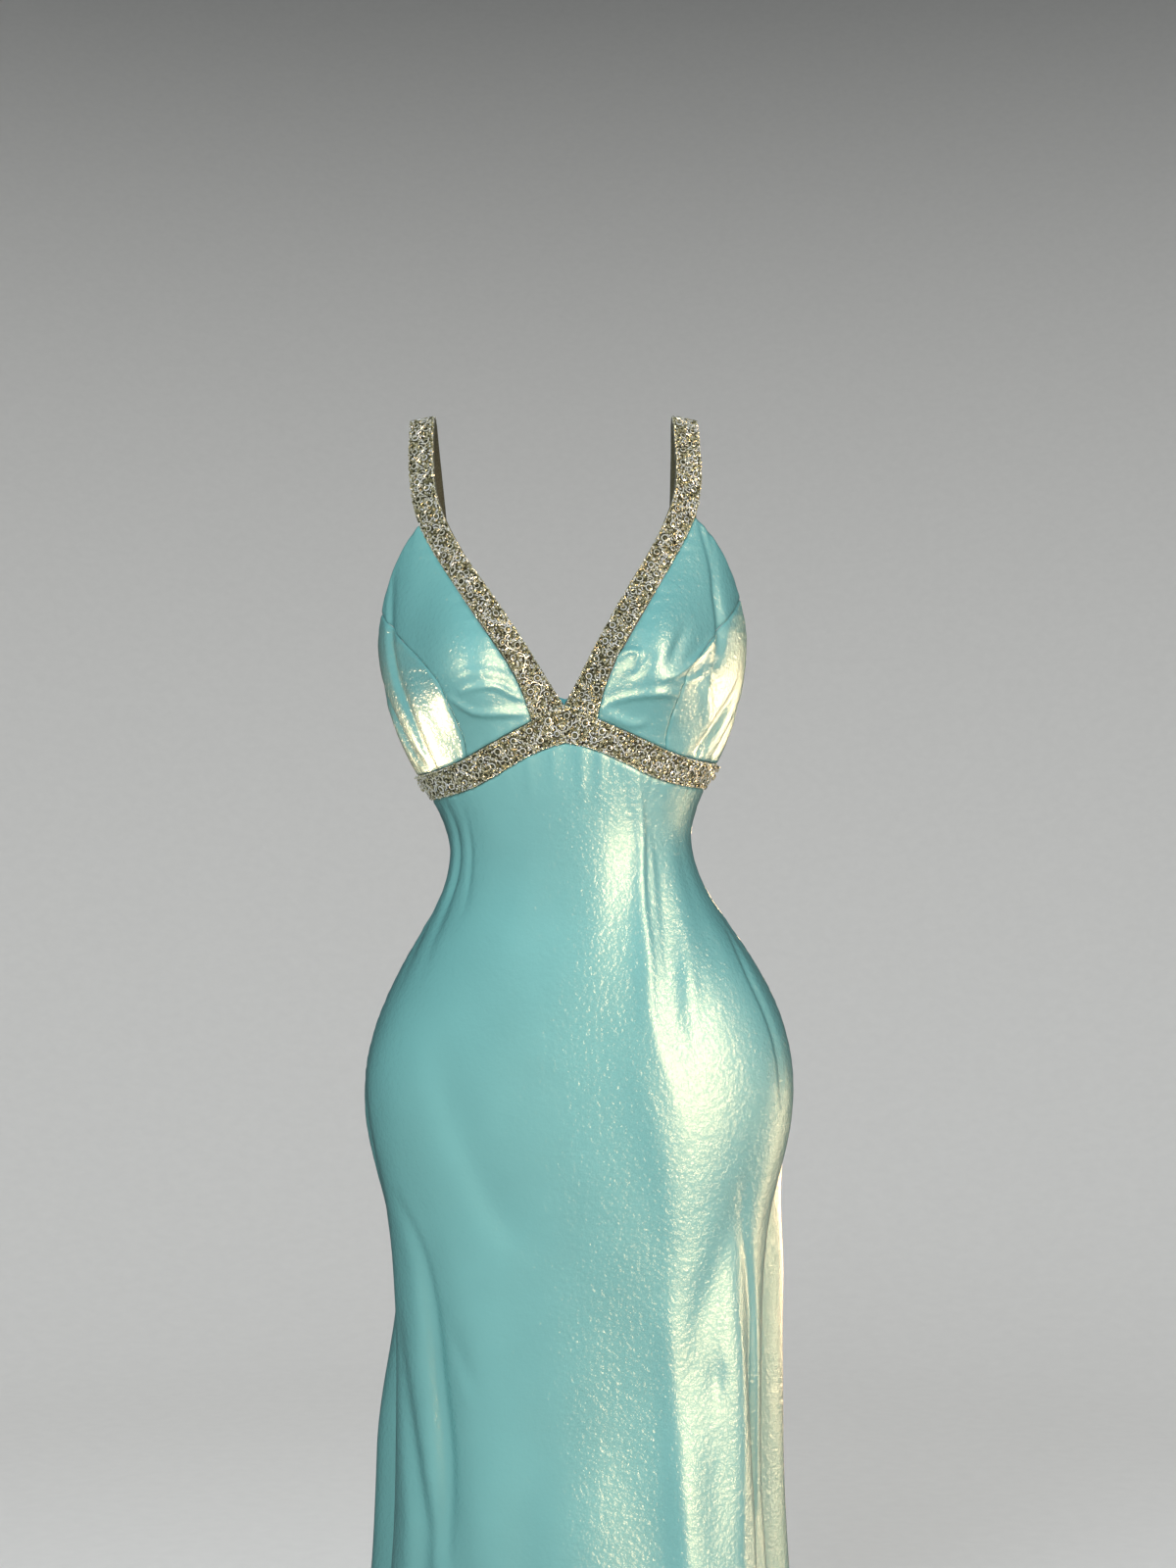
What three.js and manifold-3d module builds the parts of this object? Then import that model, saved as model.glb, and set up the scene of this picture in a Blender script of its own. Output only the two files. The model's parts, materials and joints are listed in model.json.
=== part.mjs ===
// A floor-length evening gown of satin with beaded straps and a beaded band under the bust,
// filled out as it is when worn. Millimetres, +Z up, the front faces -Y.
// The origin is midway between the tops of the two straps, where the wearer's shoulders carry it.
//
// Every panel is a thin wall on one shared form, which is a stack of rounded sections with the
// bust's fullness and the skirt's folds added. A place on the form is an angle round the body,
// 0 at the centre front and positive towards +X, and a height.
import * as THREE from "three";
import { mergeVertices } from "three/addons/utils/BufferGeometryUtils.js";
import Module from "manifold-3d";

// Driving dimensions
const SATIN = 1.6; // wall of a satin panel, its outer face on the form
const STRAP_WIDTH = 24; // width of a strap over the shoulder
const TRIM_PROUD = 1.6; // how far the beaded trim stands out of the form
const SEAM = 0.3; // gap between two pieces at a seam
const HEM = -1450; // height of the hem
const KNEE = -1000; // height where the skirt starts to flare
const SIDE = Math.PI / 2; // angle of the side seams
const BACK = Math.PI; // angle of the centre back seam
const LEAN = THREE.MathUtils.degToRad(2.3); // the body above the hips leans to -X
const LEAN_HEIGHT = -580; // the lean turns about this height
const LEAN_BLEND = 60; // half the height over which the lean comes in
const SHOULDER_LEVEL = -150; // above this height the shoulders come back level

const ZIP_END = -640; // lower end of the zip tape
const TAPE_HALF = 11; // half the width of the zip tape
const TAPE_WALL = 0.8;
const SLIDER_DROP = 11; // from the zip's top edge down to the slider's centre
const REST_GAP = 0.3; // gap between a piece and what it rests on

// The form's sections: half the width, the depth in front of and behind the side seams,
// and the power of the rounded outline, 2 for an ellipse and more for a squarer one.
const SECTIONS = [
  { z: -90, half: 150, front: 84, back: 100, power: 2.4 },
  { z: -150, half: 163, front: 98, back: 106, power: 2.4 },
  { z: -210, half: 168.5, front: 108, back: 108, power: 2.4 },
  { z: -265, half: 161, front: 110, back: 106, power: 2.35 },
  { z: -320, half: 139.5, front: 108, back: 98, power: 2.3 },
  { z: -360, half: 118.5, front: 101, back: 86, power: 2.25 },
  { z: -400, half: 111.5, front: 95, back: 79, power: 2.2 },
  { z: -440, half: 124, front: 95, back: 86, power: 2.2 },
  { z: -480, half: 148, front: 101, back: 102, power: 2.25 },
  { z: -520, half: 171, front: 109, back: 120, power: 2.3 },
  { z: -560, half: 187.5, front: 115, back: 133, power: 2.3 },
  { z: -610, half: 196.3, front: 118, back: 140, power: 2.3 },
  { z: -660, half: 192.5, front: 117, back: 138, power: 2.3 },
  { z: -720, half: 178, front: 114, back: 132, power: 2.3 },
  { z: -790, half: 170, front: 111, back: 127, power: 2.3 },
  { z: -860, half: 168.5, front: 111, back: 127, power: 2.25 },
  { z: -960, half: 169, front: 117, back: 136, power: 2.2 },
  { z: -1060, half: 174, front: 129, back: 158, power: 2.15 },
  { z: -1190, half: 194, front: 153, back: 204, power: 2.1 },
  { z: -1320, half: 236, front: 186, back: 264, power: 2.05 },
  { z: -1450, half: 290, front: 222, back: 335, power: 2 },
];

// The fullness that each cup adds in front of the sections.
const BUST = { x: 88, z: -238, out: 40, reachX: 48, reachUp: 78, reachDown: 52 };

// The skirt's folds, ridges where the depths are positive and troughs where they are negative:
// the height where a fold starts, its angle there, at the knee and at the hem, its half width
// in degrees, and its depth at the knee and at the hem.
const FOLDS = [
  { name: "left drape", top: -650, start: -51, middle: -40, foot: -32, reach: 8, knee: -6, hem: -22 },
  { name: "left front", top: -780, start: -78, middle: -54, foot: -49, reach: 6, knee: -7, hem: -22 },
  { name: "centre front", top: -860, start: -12, middle: -13, foot: -9, reach: 8, knee: -3, hem: -20 },
  { name: "right drape", top: -730, start: 8, middle: 15, foot: 12, reach: 10, knee: -4, hem: -22 },
  { name: "right front", top: -850, start: 46, middle: 46, foot: 38, reach: 7, knee: 0, hem: -22 },
  { name: "right thigh", top: -660, start: 56, middle: 58, foot: 54, reach: 13, knee: 9, hem: 6 },
  { name: "right edge", top: -670, start: 53, middle: 71, foot: 66, reach: 6, knee: -7, hem: -22 },
  { name: "left side", top: -680, start: -91, middle: -92, foot: -84, reach: 6, knee: -13, hem: -24 },
  { name: "right side", top: -600, start: 92, middle: 91, foot: 86, reach: 6, knee: -11, hem: -24 },
  { name: "left flare", top: -740, start: -112, middle: -109, foot: -104, reach: 11, knee: 30, hem: 18 },
  { name: "right flare", top: -590, start: 111, middle: 109, foot: 106, reach: 11, knee: 33, hem: 18 },
  { name: "left back", top: -760, start: -136, middle: -133, foot: -129, reach: 8, knee: -7, hem: -26 },
  { name: "right back", top: -720, start: 138, middle: 134, foot: 131, reach: 8, knee: -7, hem: -26 },
  { name: "left tail", top: -840, start: -162, middle: -159, foot: -156, reach: 8, knee: -5, hem: -25 },
  { name: "right tail", top: -810, start: 164, middle: 161, foot: 159, reach: 8, knee: -5, hem: -25 },
];
const FOLD_ONSET = 220; // height over which a fold comes to its depth at the knee

// The band under the bust, by the angle in degrees: its upper and lower edges' heights.
const BAND = [
  { angle: 0, upper: -267.5, lower: -301.5 },
  { angle: 8, upper: -281, lower: -309 },
  { angle: 21, upper: -297.5, lower: -324 },
  { angle: 35, upper: -311, lower: -336 },
  { angle: 54, upper: -320.5, lower: -343.5 },
  { angle: 90, upper: -325, lower: -347 },
];

// The straps along the neckline, from the top of the cup to the band, seen from the front.
const NECKLINE = [
  { innerX: 101, innerZ: -93, outerX: 123.8, outerZ: -101 },
  { innerX: 83.5, innerZ: -129, outerX: 103.5, outerZ: -140 },
  { innerX: 61, innerZ: -165, outerX: 81.5, outerZ: -176 },
  { innerX: 39.5, innerZ: -200, outerX: 60.5, outerZ: -209 },
  { innerX: 19, innerZ: -235, outerX: 41.5, outerZ: -242 },
  { innerX: 0, innerZ: -267.5, outerX: 24, outerZ: -281 },
];

// The straps over the shoulder, from just above the cup to just above the back panel.
const SHOULDER = [
  { innerX: 107, innerY: -60, innerZ: -72, outerX: 130, outerY: -49, outerZ: -77 },
  { innerX: 109, innerY: -45, innerZ: -46, outerX: 132.5, outerY: -36, outerZ: -50 },
  { innerX: 109, innerY: -25, innerZ: -19, outerX: 132.5, outerY: -19, outerZ: -23 },
  { innerX: 108.5, innerY: -9, innerZ: -3.5, outerX: 132, outerY: -6, outerZ: -8 },
  { innerX: 108.5, innerY: 8, innerZ: 0, outerX: 132, outerY: 9, outerZ: -4 },
  { innerX: 108.5, innerY: 27, innerZ: -6, outerX: 132, outerY: 26, outerZ: -10 },
  { innerX: 108.5, innerY: 48, innerZ: -25, outerX: 132, outerY: 42, outerZ: -28 },
  { innerX: 107.5, innerY: 66, innerZ: -55, outerX: 131.5, outerY: 54, outerZ: -57 },
  { innerX: 106, innerY: 78.5, innerZ: -90, outerX: 130, outerY: 62.5, outerZ: -92 },
];

// The straps down the back, on the form.
const STRAP_BACK = [
  { innerX: 104, innerZ: -128, outerX: 128, outerZ: -129 },
  { innerX: 101, innerZ: -180, outerX: 125, outerZ: -180 },
  { innerX: 98, innerZ: -232, outerX: 122, outerZ: -232 },
];

// The armhole's edge, from the top of the cup to the side seam, by x or by the angle.
const ARMHOLE = [
  { x: 141, z: -121 },
  { x: 151, z: -139 },
  { x: 158, z: -157 },
  { x: 163, z: -176 },
];
const ARMHOLE_SEAM = 4; // the place in the armhole's curve where the cup's curved seam starts
const UNDERARM = -213; // height of the side seam's top

// The curved seam inside each cup, from the armhole to the band.
const CUP_SEAM = [
  { x: 147, z: -199 },
  { x: 121, z: -228.5 },
  { x: 109.5, z: -245 },
  { x: 100, z: -268 },
  { x: 90, z: -294 },
];
const CUP_SEAM_FOOT = 34.5; // its angle at the band, in degrees

// The top edge of the back, by the angle in degrees.
const BACK_TOP = [
  { angle: 90, z: UNDERARM },
  { angle: 118, z: -224 },
  { angle: 144, z: -231.5 },
  { angle: 160, z: -233 },
  { angle: 180, z: -256 },
];

// The zip's slider, its two ears and their pin, in a frame with +Y out of the cloth and +Z up
// the seam, and the pull, whose eye turns on the pin.
const SLIDER = { width: 7, depth: 2.2, height: 11 };
const EAR = { width: 1.1, depth: 4.4, height: 3.2, x: 2.95 };
const PIN = { radius: 0.7, y: 5.2, z: 2.6, sides: 10 };
const PULL = { barrel: 1.9, bore: 1.1, width: 4, neck: 1.6, half: 2.9, length: 24, wall: 1.2 };
const PULL_NECK_LENGTH = 6;

// How finely each piece is divided.
const CUP_FRONT_GRID = { across: 11, down: 14 };
const CUP_SIDE_GRID = { across: 10, down: 14 };
const SKIRT_GRID = { across: 36, down: 36 };
const BACK_GRID = { across: 18, down: 38 };
const BAND_GRID = { across: 36, down: 2 };
const ACROSS = 2; // steps across a strap
const NECK_STEPS = 14; // steps of a strap along the neckline
const BACK_STEPS = 5; // and down the back
const SHOULDER_STEPS = 24; // and over the shoulder

const radians = THREE.MathUtils.degToRad;
const mix = THREE.MathUtils.lerp;

// A smooth curve through the points (places, values), with no bend at its two ends and
// straight on beyond them.
function spline(places, values) {
  const last = places.length - 1;
  const step = places.slice(1).map((p, i) => p - places[i]);
  const slope = step.map((h, i) => (values[i + 1] - values[i]) / h);
  const bend = new Array(last + 1).fill(0);
  const carry = [0];
  for (let i = 1; i < last; i++) {
    const pivot = 2 * (step[i - 1] + step[i]) - step[i - 1] * carry[i - 1];
    carry[i] = step[i] / pivot;
    bend[i] = (6 * (slope[i] - slope[i - 1]) - step[i - 1] * bend[i - 1]) / pivot;
  }
  for (let i = last - 1; i > 0; i--) bend[i] -= carry[i] * bend[i + 1];
  return (place) => {
    let i = 0;
    while (i < last - 1 && place > places[i + 1]) i++;
    const t = place - places[i];
    const start = slope[i] - (step[i] * (2 * bend[i] + bend[i + 1])) / 6;
    if (t < 0) return values[i] + start * t;
    if (t > step[i]) {
      const end = slope[i] + (step[i] * (bend[i] + 2 * bend[i + 1])) / 6;
      return values[i + 1] + end * (t - step[i]);
    }
    const cubic = (bend[i + 1] - bend[i]) / (6 * step[i]);
    return values[i] + t * (start + t * (bend[i] / 2 + t * cubic));
  };
}

const column = (rows, name) => rows.map((row) => row[name]);

// The columns of a table as smooth functions of its first column, taken upwards.
function smoothTable(rows, place, names) {
  const sorted = [...rows].sort((a, b) => a[place] - b[place]);
  const made = {};
  for (const name of names) made[name] = spline(column(sorted, place), column(sorted, name));
  return made;
}

const sections = smoothTable(SECTIONS, "z", ["half", "front", "back", "power"]);
const bandEdges = smoothTable(
  BAND.map((row) => ({ ...row, angle: radians(row.angle) })),
  "angle",
  ["upper", "lower"],
);
const bandUpper = (angle) => bandEdges.upper(Math.abs(angle));
const bandLower = (angle) => bandEdges.lower(Math.abs(angle));
const backTable = smoothTable(
  BACK_TOP.map((row) => ({ ...row, angle: radians(row.angle) })),
  "angle",
  ["z"],
);
const backTop = (angle) => backTable.z(Math.abs(angle));

const signedPower = (value, power) => Math.sign(value) * Math.abs(value) ** power;
const bell = (distance) => Math.exp(-distance * distance);

// The form without its folds.
function plainForm(angle, z) {
  const half = sections.half(z);
  const power = 2 / sections.power(z);
  const across = signedPower(Math.sin(angle), power);
  const ahead = signedPower(Math.cos(angle), power);
  const x = half * across;
  if (ahead < 0) return new THREE.Vector3(x, -sections.back(z) * ahead, z);
  const reachZ = z > BUST.z ? BUST.reachUp : BUST.reachDown;
  const cup = BUST.out * bell((Math.abs(x) - BUST.x) / BUST.reachX) * bell((z - BUST.z) / reachZ);
  return new THREE.Vector3(x, -(sections.front(z) + cup) * ahead, z);
}

// How far the folds move the form outwards.
function foldDepth(angle, z) {
  const degrees = THREE.MathUtils.radToDeg(angle);
  let out = 0;
  for (const fold of FOLDS) {
    if (z > fold.top) continue;
    const atKnee = THREE.MathUtils.clamp((fold.top - z) / (fold.top - KNEE), 0, 1);
    const belowKnee = THREE.MathUtils.clamp((KNEE - z) / (KNEE - HEM), 0, 1);
    const middle = mix(mix(fold.start, fold.middle, atKnee), fold.foot, belowKnee);
    const turn = THREE.MathUtils.euclideanModulo(degrees - middle + 180, 360) - 180;
    const onset = THREE.MathUtils.smoothstep(-z, -fold.top, FOLD_ONSET - fold.top);
    const toHem = THREE.MathUtils.smoothstep(-z, -KNEE, -HEM);
    out += mix(fold.knee * onset, fold.hem, toHem) * bell(turn / fold.reach);
  }
  return out;
}

const NUDGE = 0.004; // the small turn that finds which way a section faces
const LIFT = 1; // the small rise that finds how the form slopes

function form(angle, z) {
  const along = plainForm(angle + NUDGE, z).sub(plainForm(angle - NUDGE, z));
  const outward = new THREE.Vector3(along.y, -along.x, 0).normalize();
  return plainForm(angle, z).addScaledVector(outward, foldDepth(angle, z));
}

function formNormal(angle, z) {
  const along = form(angle + NUDGE, z).sub(form(angle - NUDGE, z));
  const up = form(angle, z + LIFT).sub(form(angle, z - LIFT));
  return along.cross(up).normalize();
}

// The angle of the front point that is seen x from the centre, or of the back point.
function angleAt(x, z, behind = false) {
  const share = Math.min(1, Math.abs(x) / sections.half(z));
  const angle = Math.asin(share ** (sections.power(z) / 2));
  return Math.sign(x) * (behind ? Math.PI - angle : angle);
}

// The body's lean: everything above the hips turns about the hips' centre.
function pose(point) {
  const start = LEAN_HEIGHT - LEAN_BLEND;
  const angle = LEAN * THREE.MathUtils.smoothstep(point.z, start, LEAN_HEIGHT + LEAN_BLEND);
  const rise = point.z - LEAN_HEIGHT;
  const level = 1 - THREE.MathUtils.smoothstep(point.z, SHOULDER_LEVEL, 0);
  return new THREE.Vector3(
    point.x * Math.cos(angle) - rise * Math.sin(angle) - LEAN_HEIGHT * Math.sin(LEAN),
    point.y,
    LEAN_HEIGHT + point.x * Math.sin(angle) * level + rise * Math.cos(angle),
  );
}

// A curve in the plane of angle and height, through rows of them.
function curveThrough(points) {
  const places = [0];
  for (let i = 1; i < points.length; i++) {
    const [a, b] = [points[i - 1], points[i]];
    places.push(places[i - 1] + Math.hypot((b.angle - a.angle) * 140, b.z - a.z));
  }
  const total = places[places.length - 1];
  const angle = spline(places, column(points, "angle"));
  const z = spline(places, column(points, "z"));
  const curve = (share) => ({ angle: angle(share * total), z: z(share * total) });
  curve.placeOf = (index) => places[index] / total;
  return curve;
}

const partOf = (curve, from, to) => (share) => curve(mix(from, to, share));

// The shares of a line from one edge to the other, with half a seam left free at each.
function seamShares(steps, length) {
  const rim = SEAM / 2 / length;
  return Array.from({ length: steps + 1 }, (_, i) => mix(rim, 1 - rim, i / steps));
}

// A closed wall over a grid of {point, normal}, from inner to outer along the normals.
function wall(grid, inner, outer) {
  const rows = grid.length;
  const columns = grid[0].length;
  const positions = [];
  for (const reach of [outer, inner])
    for (const row of grid)
      for (const { point, normal } of row)
        positions.push(...pose(point.clone().addScaledVector(normal, reach)).toArray());
  const index = [];
  const outerAt = (i, j) => i * columns + j;
  const innerAt = (i, j) => rows * columns + outerAt(i, j);
  const quad = (a, b, c, d) => index.push(a, b, c, a, c, d);
  for (let i = 0; i < rows - 1; i++)
    for (let j = 0; j < columns - 1; j++) {
      quad(outerAt(i, j), outerAt(i + 1, j), outerAt(i + 1, j + 1), outerAt(i, j + 1));
      quad(innerAt(i, j), innerAt(i, j + 1), innerAt(i + 1, j + 1), innerAt(i + 1, j));
    }
  for (let i = 0; i < rows - 1; i++) {
    quad(outerAt(i, 0), innerAt(i, 0), innerAt(i + 1, 0), outerAt(i + 1, 0));
    const end = columns - 1;
    quad(outerAt(i, end), outerAt(i + 1, end), innerAt(i + 1, end), innerAt(i, end));
  }
  for (let j = 0; j < columns - 1; j++) {
    quad(outerAt(0, j), outerAt(0, j + 1), innerAt(0, j + 1), innerAt(0, j));
    const end = rows - 1;
    quad(outerAt(end, j), innerAt(end, j), innerAt(end, j + 1), outerAt(end, j + 1));
  }
  const geometry = new THREE.BufferGeometry();
  geometry.setAttribute("position", new THREE.Float32BufferAttribute(positions, 3));
  geometry.setIndex(index);
  return faceOut(geometry);
}

// Turns a closed geometry's faces round if they point inwards.
function faceOut(geometry) {
  const at = geometry.attributes.position;
  const index = geometry.index.array;
  const corner = (i) => new THREE.Vector3().fromBufferAttribute(at, index[i]);
  let volume = 0;
  for (let i = 0; i < index.length; i += 3)
    volume += corner(i).dot(corner(i + 1).cross(corner(i + 2)));
  if (volume < 0)
    for (let i = 0; i < index.length; i += 3)
      [index[i + 1], index[i + 2]] = [index[i + 2], index[i + 1]];
  geometry.computeVertexNormals();
  return geometry;
}

const onForm = ({ angle, z }) => ({ point: form(angle, z), normal: formNormal(angle, z) });
const mirrored = (curve) => (share) => ({ ...curve(share), angle: -curve(share).angle });

// A panel between four edges, each a curve of angle and height: top and bottom run across,
// from the first side to the second, and both sides run down.
function panel(top, bottom, first, second, across, down) {
  const place = (u, v) => {
    const [a, b, c, d] = [top(u), bottom(u), first(v), second(v)];
    const blend = (key) =>
      mix(a[key], b[key], v) +
      mix(c[key], d[key], u) -
      mix(mix(top(0)[key], top(1)[key], u), mix(bottom(0)[key], bottom(1)[key], u), v);
    return { angle: blend("angle"), z: blend("z") };
  };
  const at = (u, v) => form(place(u, v).angle, place(u, v).z);
  const width = (v) => at(0, v).distanceTo(at(0.5, v)) + at(0.5, v).distanceTo(at(1, v));
  const height = (u) => at(u, 0).distanceTo(at(u, 0.5)) + at(u, 0.5).distanceTo(at(u, 1));
  const us = Array.from({ length: across + 1 }, (_, j) => j / across);
  const grid = [];
  for (let i = 0; i <= down; i++) {
    const row = us.map((u, j) => {
      const v = seamShares(down, height(u))[i];
      return onForm(place(seamShares(across, width(v))[j], v));
    });
    grid.push(row);
  }
  return grid;
}

const straightDown = (angle, top, bottom) => (share) => ({ angle, z: mix(top, bottom, share) });
const roundBody = (from, to, height) => (share) => {
  const angle = mix(from, to, share);
  return { angle, z: height(angle) };
};

// The cup's edges on the wearer's left, at +X.
const cupTop = { angle: angleAt(NECKLINE[0].outerX, NECKLINE[0].outerZ), z: NECKLINE[0].outerZ };
const bandFoot = radians(BAND[1].angle);
const cupSeamFoot = radians(CUP_SEAM_FOOT);
const neckRows = NECKLINE.slice(1, -1);
const neckInner = curveThrough([
  ...NECKLINE.slice(0, -1).map((r) => ({ angle: angleAt(r.innerX, r.innerZ), z: r.innerZ })),
  { angle: 0, z: bandUpper(0) },
]);
const neckOuter = curveThrough([
  cupTop,
  ...neckRows.map((r) => ({ angle: angleAt(r.outerX, r.outerZ), z: r.outerZ })),
  { angle: bandFoot, z: bandUpper(bandFoot) },
]);
const armhole = curveThrough([
  cupTop,
  ...ARMHOLE.map(({ x, z }) => ({ angle: angleAt(x, z), z })),
  { angle: SIDE, z: UNDERARM },
]);
const armholeSeam = armhole.placeOf(ARMHOLE_SEAM);
const cupSeam = curveThrough([
  armhole(armholeSeam),
  ...CUP_SEAM.map(({ x, z }) => ({ angle: angleAt(x, z), z })),
  { angle: cupSeamFoot, z: bandUpper(cupSeamFoot) },
]);

const cupFrontEdges = [
  partOf(armhole, 0, armholeSeam),
  roundBody(bandFoot, cupSeamFoot, bandUpper),
  neckOuter,
  cupSeam,
];
const cupSideEdges = [
  partOf(armhole, armholeSeam, 1),
  roundBody(cupSeamFoot, SIDE, bandUpper),
  cupSeam,
  straightDown(SIDE, UNDERARM, bandUpper(SIDE)),
];

function cupPiece(edges, grid, side) {
  const [top, bottom, first, second] = side < 0 ? edges.map(mirrored) : edges;
  return wall(panel(top, bottom, first, second, grid.across, grid.down), -SATIN, 0);
}

function skirtFront() {
  const { across, down } = SKIRT_GRID;
  const grid = panel(
    roundBody(-SIDE, SIDE, bandLower),
    roundBody(-SIDE, SIDE, () => HEM),
    straightDown(-SIDE, bandLower(SIDE), HEM),
    straightDown(SIDE, bandLower(SIDE), HEM),
    across,
    down,
  );
  return wall(grid, -SATIN, 0);
}

function backGrid(side) {
  const { across, down } = BACK_GRID;
  const [from, to] = [side * SIDE, side * BACK];
  return panel(
    roundBody(from, to, backTop),
    roundBody(from, to, () => HEM),
    straightDown(from, backTop(SIDE), HEM),
    straightDown(to, backTop(BACK), HEM),
    across,
    down,
  );
}

function bandPiece() {
  const { across, down } = BAND_GRID;
  const grid = panel(
    roundBody(-SIDE, SIDE, bandUpper),
    roundBody(-SIDE, SIDE, bandLower),
    straightDown(-SIDE, bandUpper(SIDE), bandLower(SIDE)),
    straightDown(SIDE, bandUpper(SIDE), bandLower(SIDE)),
    across,
    down,
  );
  return wall(grid, -SATIN, TRIM_PROUD);
}

// A strap's edge down the back, which ends on the back panel's top edge.
function backCurve(x, z) {
  const points = STRAP_BACK.map((r) => ({ angle: angleAt(r[x], r[z], true), z: r[z] }));
  const end = points[points.length - 1];
  end.z = backTop(end.angle);
  return curveThrough(points);
}

// A strap runs on the form along the neckline, free over the shoulder, and on the form again
// down the back. Each column of it across is one smooth curve through all three.
function strapPiece(side) {
  const chord = (first, second) => (share) => ({
    angle: mix(first(0).angle, second(0).angle, share),
    z: mix(first(0).z, second(0).z, share),
  });
  const foot = roundBody(0, bandFoot, bandUpper);
  const neck = panel(chord(neckInner, neckOuter), foot, neckInner, neckOuter, ACROSS, NECK_STEPS);
  const inner = backCurve("innerX", "innerZ");
  const outer = backCurve("outerX", "outerZ");
  const end = roundBody(inner(1).angle, outer(1).angle, backTop);
  const back = panel(chord(inner, outer), end, inner, outer, ACROSS, BACK_STEPS);
  neck.reverse();
  const curves = neck[0].map((_, j) => {
    const across = seamShares(ACROSS, STRAP_WIDTH)[j];
    const free = SHOULDER.map((row) =>
      new THREE.Vector3(row.innerX, row.innerY, row.innerZ).lerp(
        new THREE.Vector3(row.outerX, row.outerY, row.outerZ),
        across,
      ),
    );
    const on = (rows) => rows.map((row) => row[j].point);
    return new THREE.CatmullRomCurve3([...on(neck.slice(-2)), ...free, ...on(back.slice(0, 2))]);
  });
  const spans = SHOULDER.length + 3;
  const shoulder = [];
  for (let i = 1; i < SHOULDER_STEPS; i++) {
    const share = mix(1, spans - 1, i / SHOULDER_STEPS) / spans;
    const points = curves.map((curve) => curve.getPoint(share));
    const width = points[ACROSS].clone().sub(points[0]);
    const facing = curves.map((curve) => width.clone().cross(curve.getTangent(share)).normalize());
    shoulder.push(points.map((point, j) => ({ point, normal: facing[j] })));
  }
  const grid = [...neck, ...shoulder, ...back];
  if (side < 0)
    for (const { point, normal } of grid.flat()) [point.x, normal.x] = [-point.x, -normal.x];
  return wall(grid, -SATIN, TRIM_PROUD);
}

// The zip's tape lies inside the centre back seam. It is made from the two back panels' last
// columns of points, so that it lies flat on both.
function zipTape(backs) {
  const last = BACK_GRID.across;
  const rows = backs[0].filter((row) => row[last].point.z > ZIP_END).length;
  const inward = (row) => {
    const [end, before] = [row[last], row[last - 1]];
    const share = TAPE_HALF / end.point.distanceTo(before.point);
    return {
      point: end.point.clone().lerp(before.point, share),
      normal: end.normal.clone().lerp(before.normal, share),
    };
  };
  const grid = [];
  for (let i = 0; i < rows; i++) {
    const [first, second] = backs.map((rows) => rows[i]);
    grid.push([inward(first), first[last], second[last], inward(second)]);
  }
  const outer = -SATIN - REST_GAP;
  return wall(grid, outer - TAPE_WALL, outer);
}

const wasm = await Module();
wasm.setup();

// A three.js geometry as a solid, and back.
function solid(geometry) {
  const bare = geometry.index ? geometry.toNonIndexed() : geometry.clone();
  bare.deleteAttribute("normal");
  bare.deleteAttribute("uv");
  const merged = mergeVertices(bare);
  const mesh = new wasm.Mesh({
    numProp: 3,
    vertProperties: new Float32Array(merged.attributes.position.array),
    triVerts: new Uint32Array(merged.index.array),
  });
  return new wasm.Manifold(mesh);
}

function geometryOf(made) {
  const mesh = made.getMesh();
  const geometry = new THREE.BufferGeometry();
  geometry.setAttribute("position", new THREE.BufferAttribute(mesh.vertProperties, 3));
  geometry.setIndex(new THREE.BufferAttribute(mesh.triVerts, 1));
  geometry.computeVertexNormals();
  return geometry;
}

const block = (width, depth, height, x, y, z) =>
  solid(new THREE.BoxGeometry(width, depth, height).translate(x, y, z));
const rod = (radius, length, sides) =>
  solid(new THREE.CylinderGeometry(radius, radius, length, sides).rotateZ(Math.PI / 2));

function slider() {
  const top = REST_GAP + SLIDER.depth;
  let made = block(SLIDER.width, SLIDER.depth, SLIDER.height, 0, REST_GAP + SLIDER.depth / 2, 0);
  for (const side of [-1, 1]) {
    const y = top - 0.2 + EAR.depth / 2;
    made = made.add(block(EAR.width, EAR.depth, EAR.height, side * EAR.x, y, PIN.z));
  }
  return geometryOf(made.add(rod(PIN.radius, 2 * EAR.x, PIN.sides).translate(0, PIN.y, PIN.z)));
}

// The pull, in its own frame: its hinge at the origin, hanging down -Z.
function pull() {
  const { barrel, bore, width, neck, half, length, wall: thick } = PULL;
  const outline = new THREE.Shape();
  outline.moveTo(-neck, -(bore + barrel) / 2);
  outline.lineTo(-neck, -PULL_NECK_LENGTH);
  outline.bezierCurveTo(-neck, -PULL_NECK_LENGTH - 4, -half, -length + 10, -half, -length + half);
  outline.absarc(0, -length + half, half, Math.PI, 2 * Math.PI, false);
  outline.bezierCurveTo(half, -length + 10, neck, -PULL_NECK_LENGTH - 4, neck, -PULL_NECK_LENGTH);
  outline.lineTo(neck, -(bore + barrel) / 2);
  const tab = new THREE.ExtrudeGeometry(outline, {
    depth: thick,
    bevelEnabled: false,
    curveSegments: 5,
  });
  tab.rotateX(Math.PI / 2).translate(0, thick / 2, 0);
  const eye = rod(barrel, width, PIN.sides).subtract(rod(bore, width + 1, PIN.sides));
  return geometryOf(eye.add(solid(tab)));
}

const satin = new THREE.MeshStandardMaterial({ color: 0x74bfc0, roughness: 0.34, metalness: 0.1 });
const beading = new THREE.MeshStandardMaterial({ color: 0xb8ab86, roughness: 0.3, metalness: 0.6 });
const tapeCloth = new THREE.MeshStandardMaterial({ color: 0x5fa6a8, roughness: 0.8 });
const zipMetal = new THREE.MeshStandardMaterial({ color: 0x86c4c4, roughness: 0.3, metalness: 0.5 });

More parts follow.
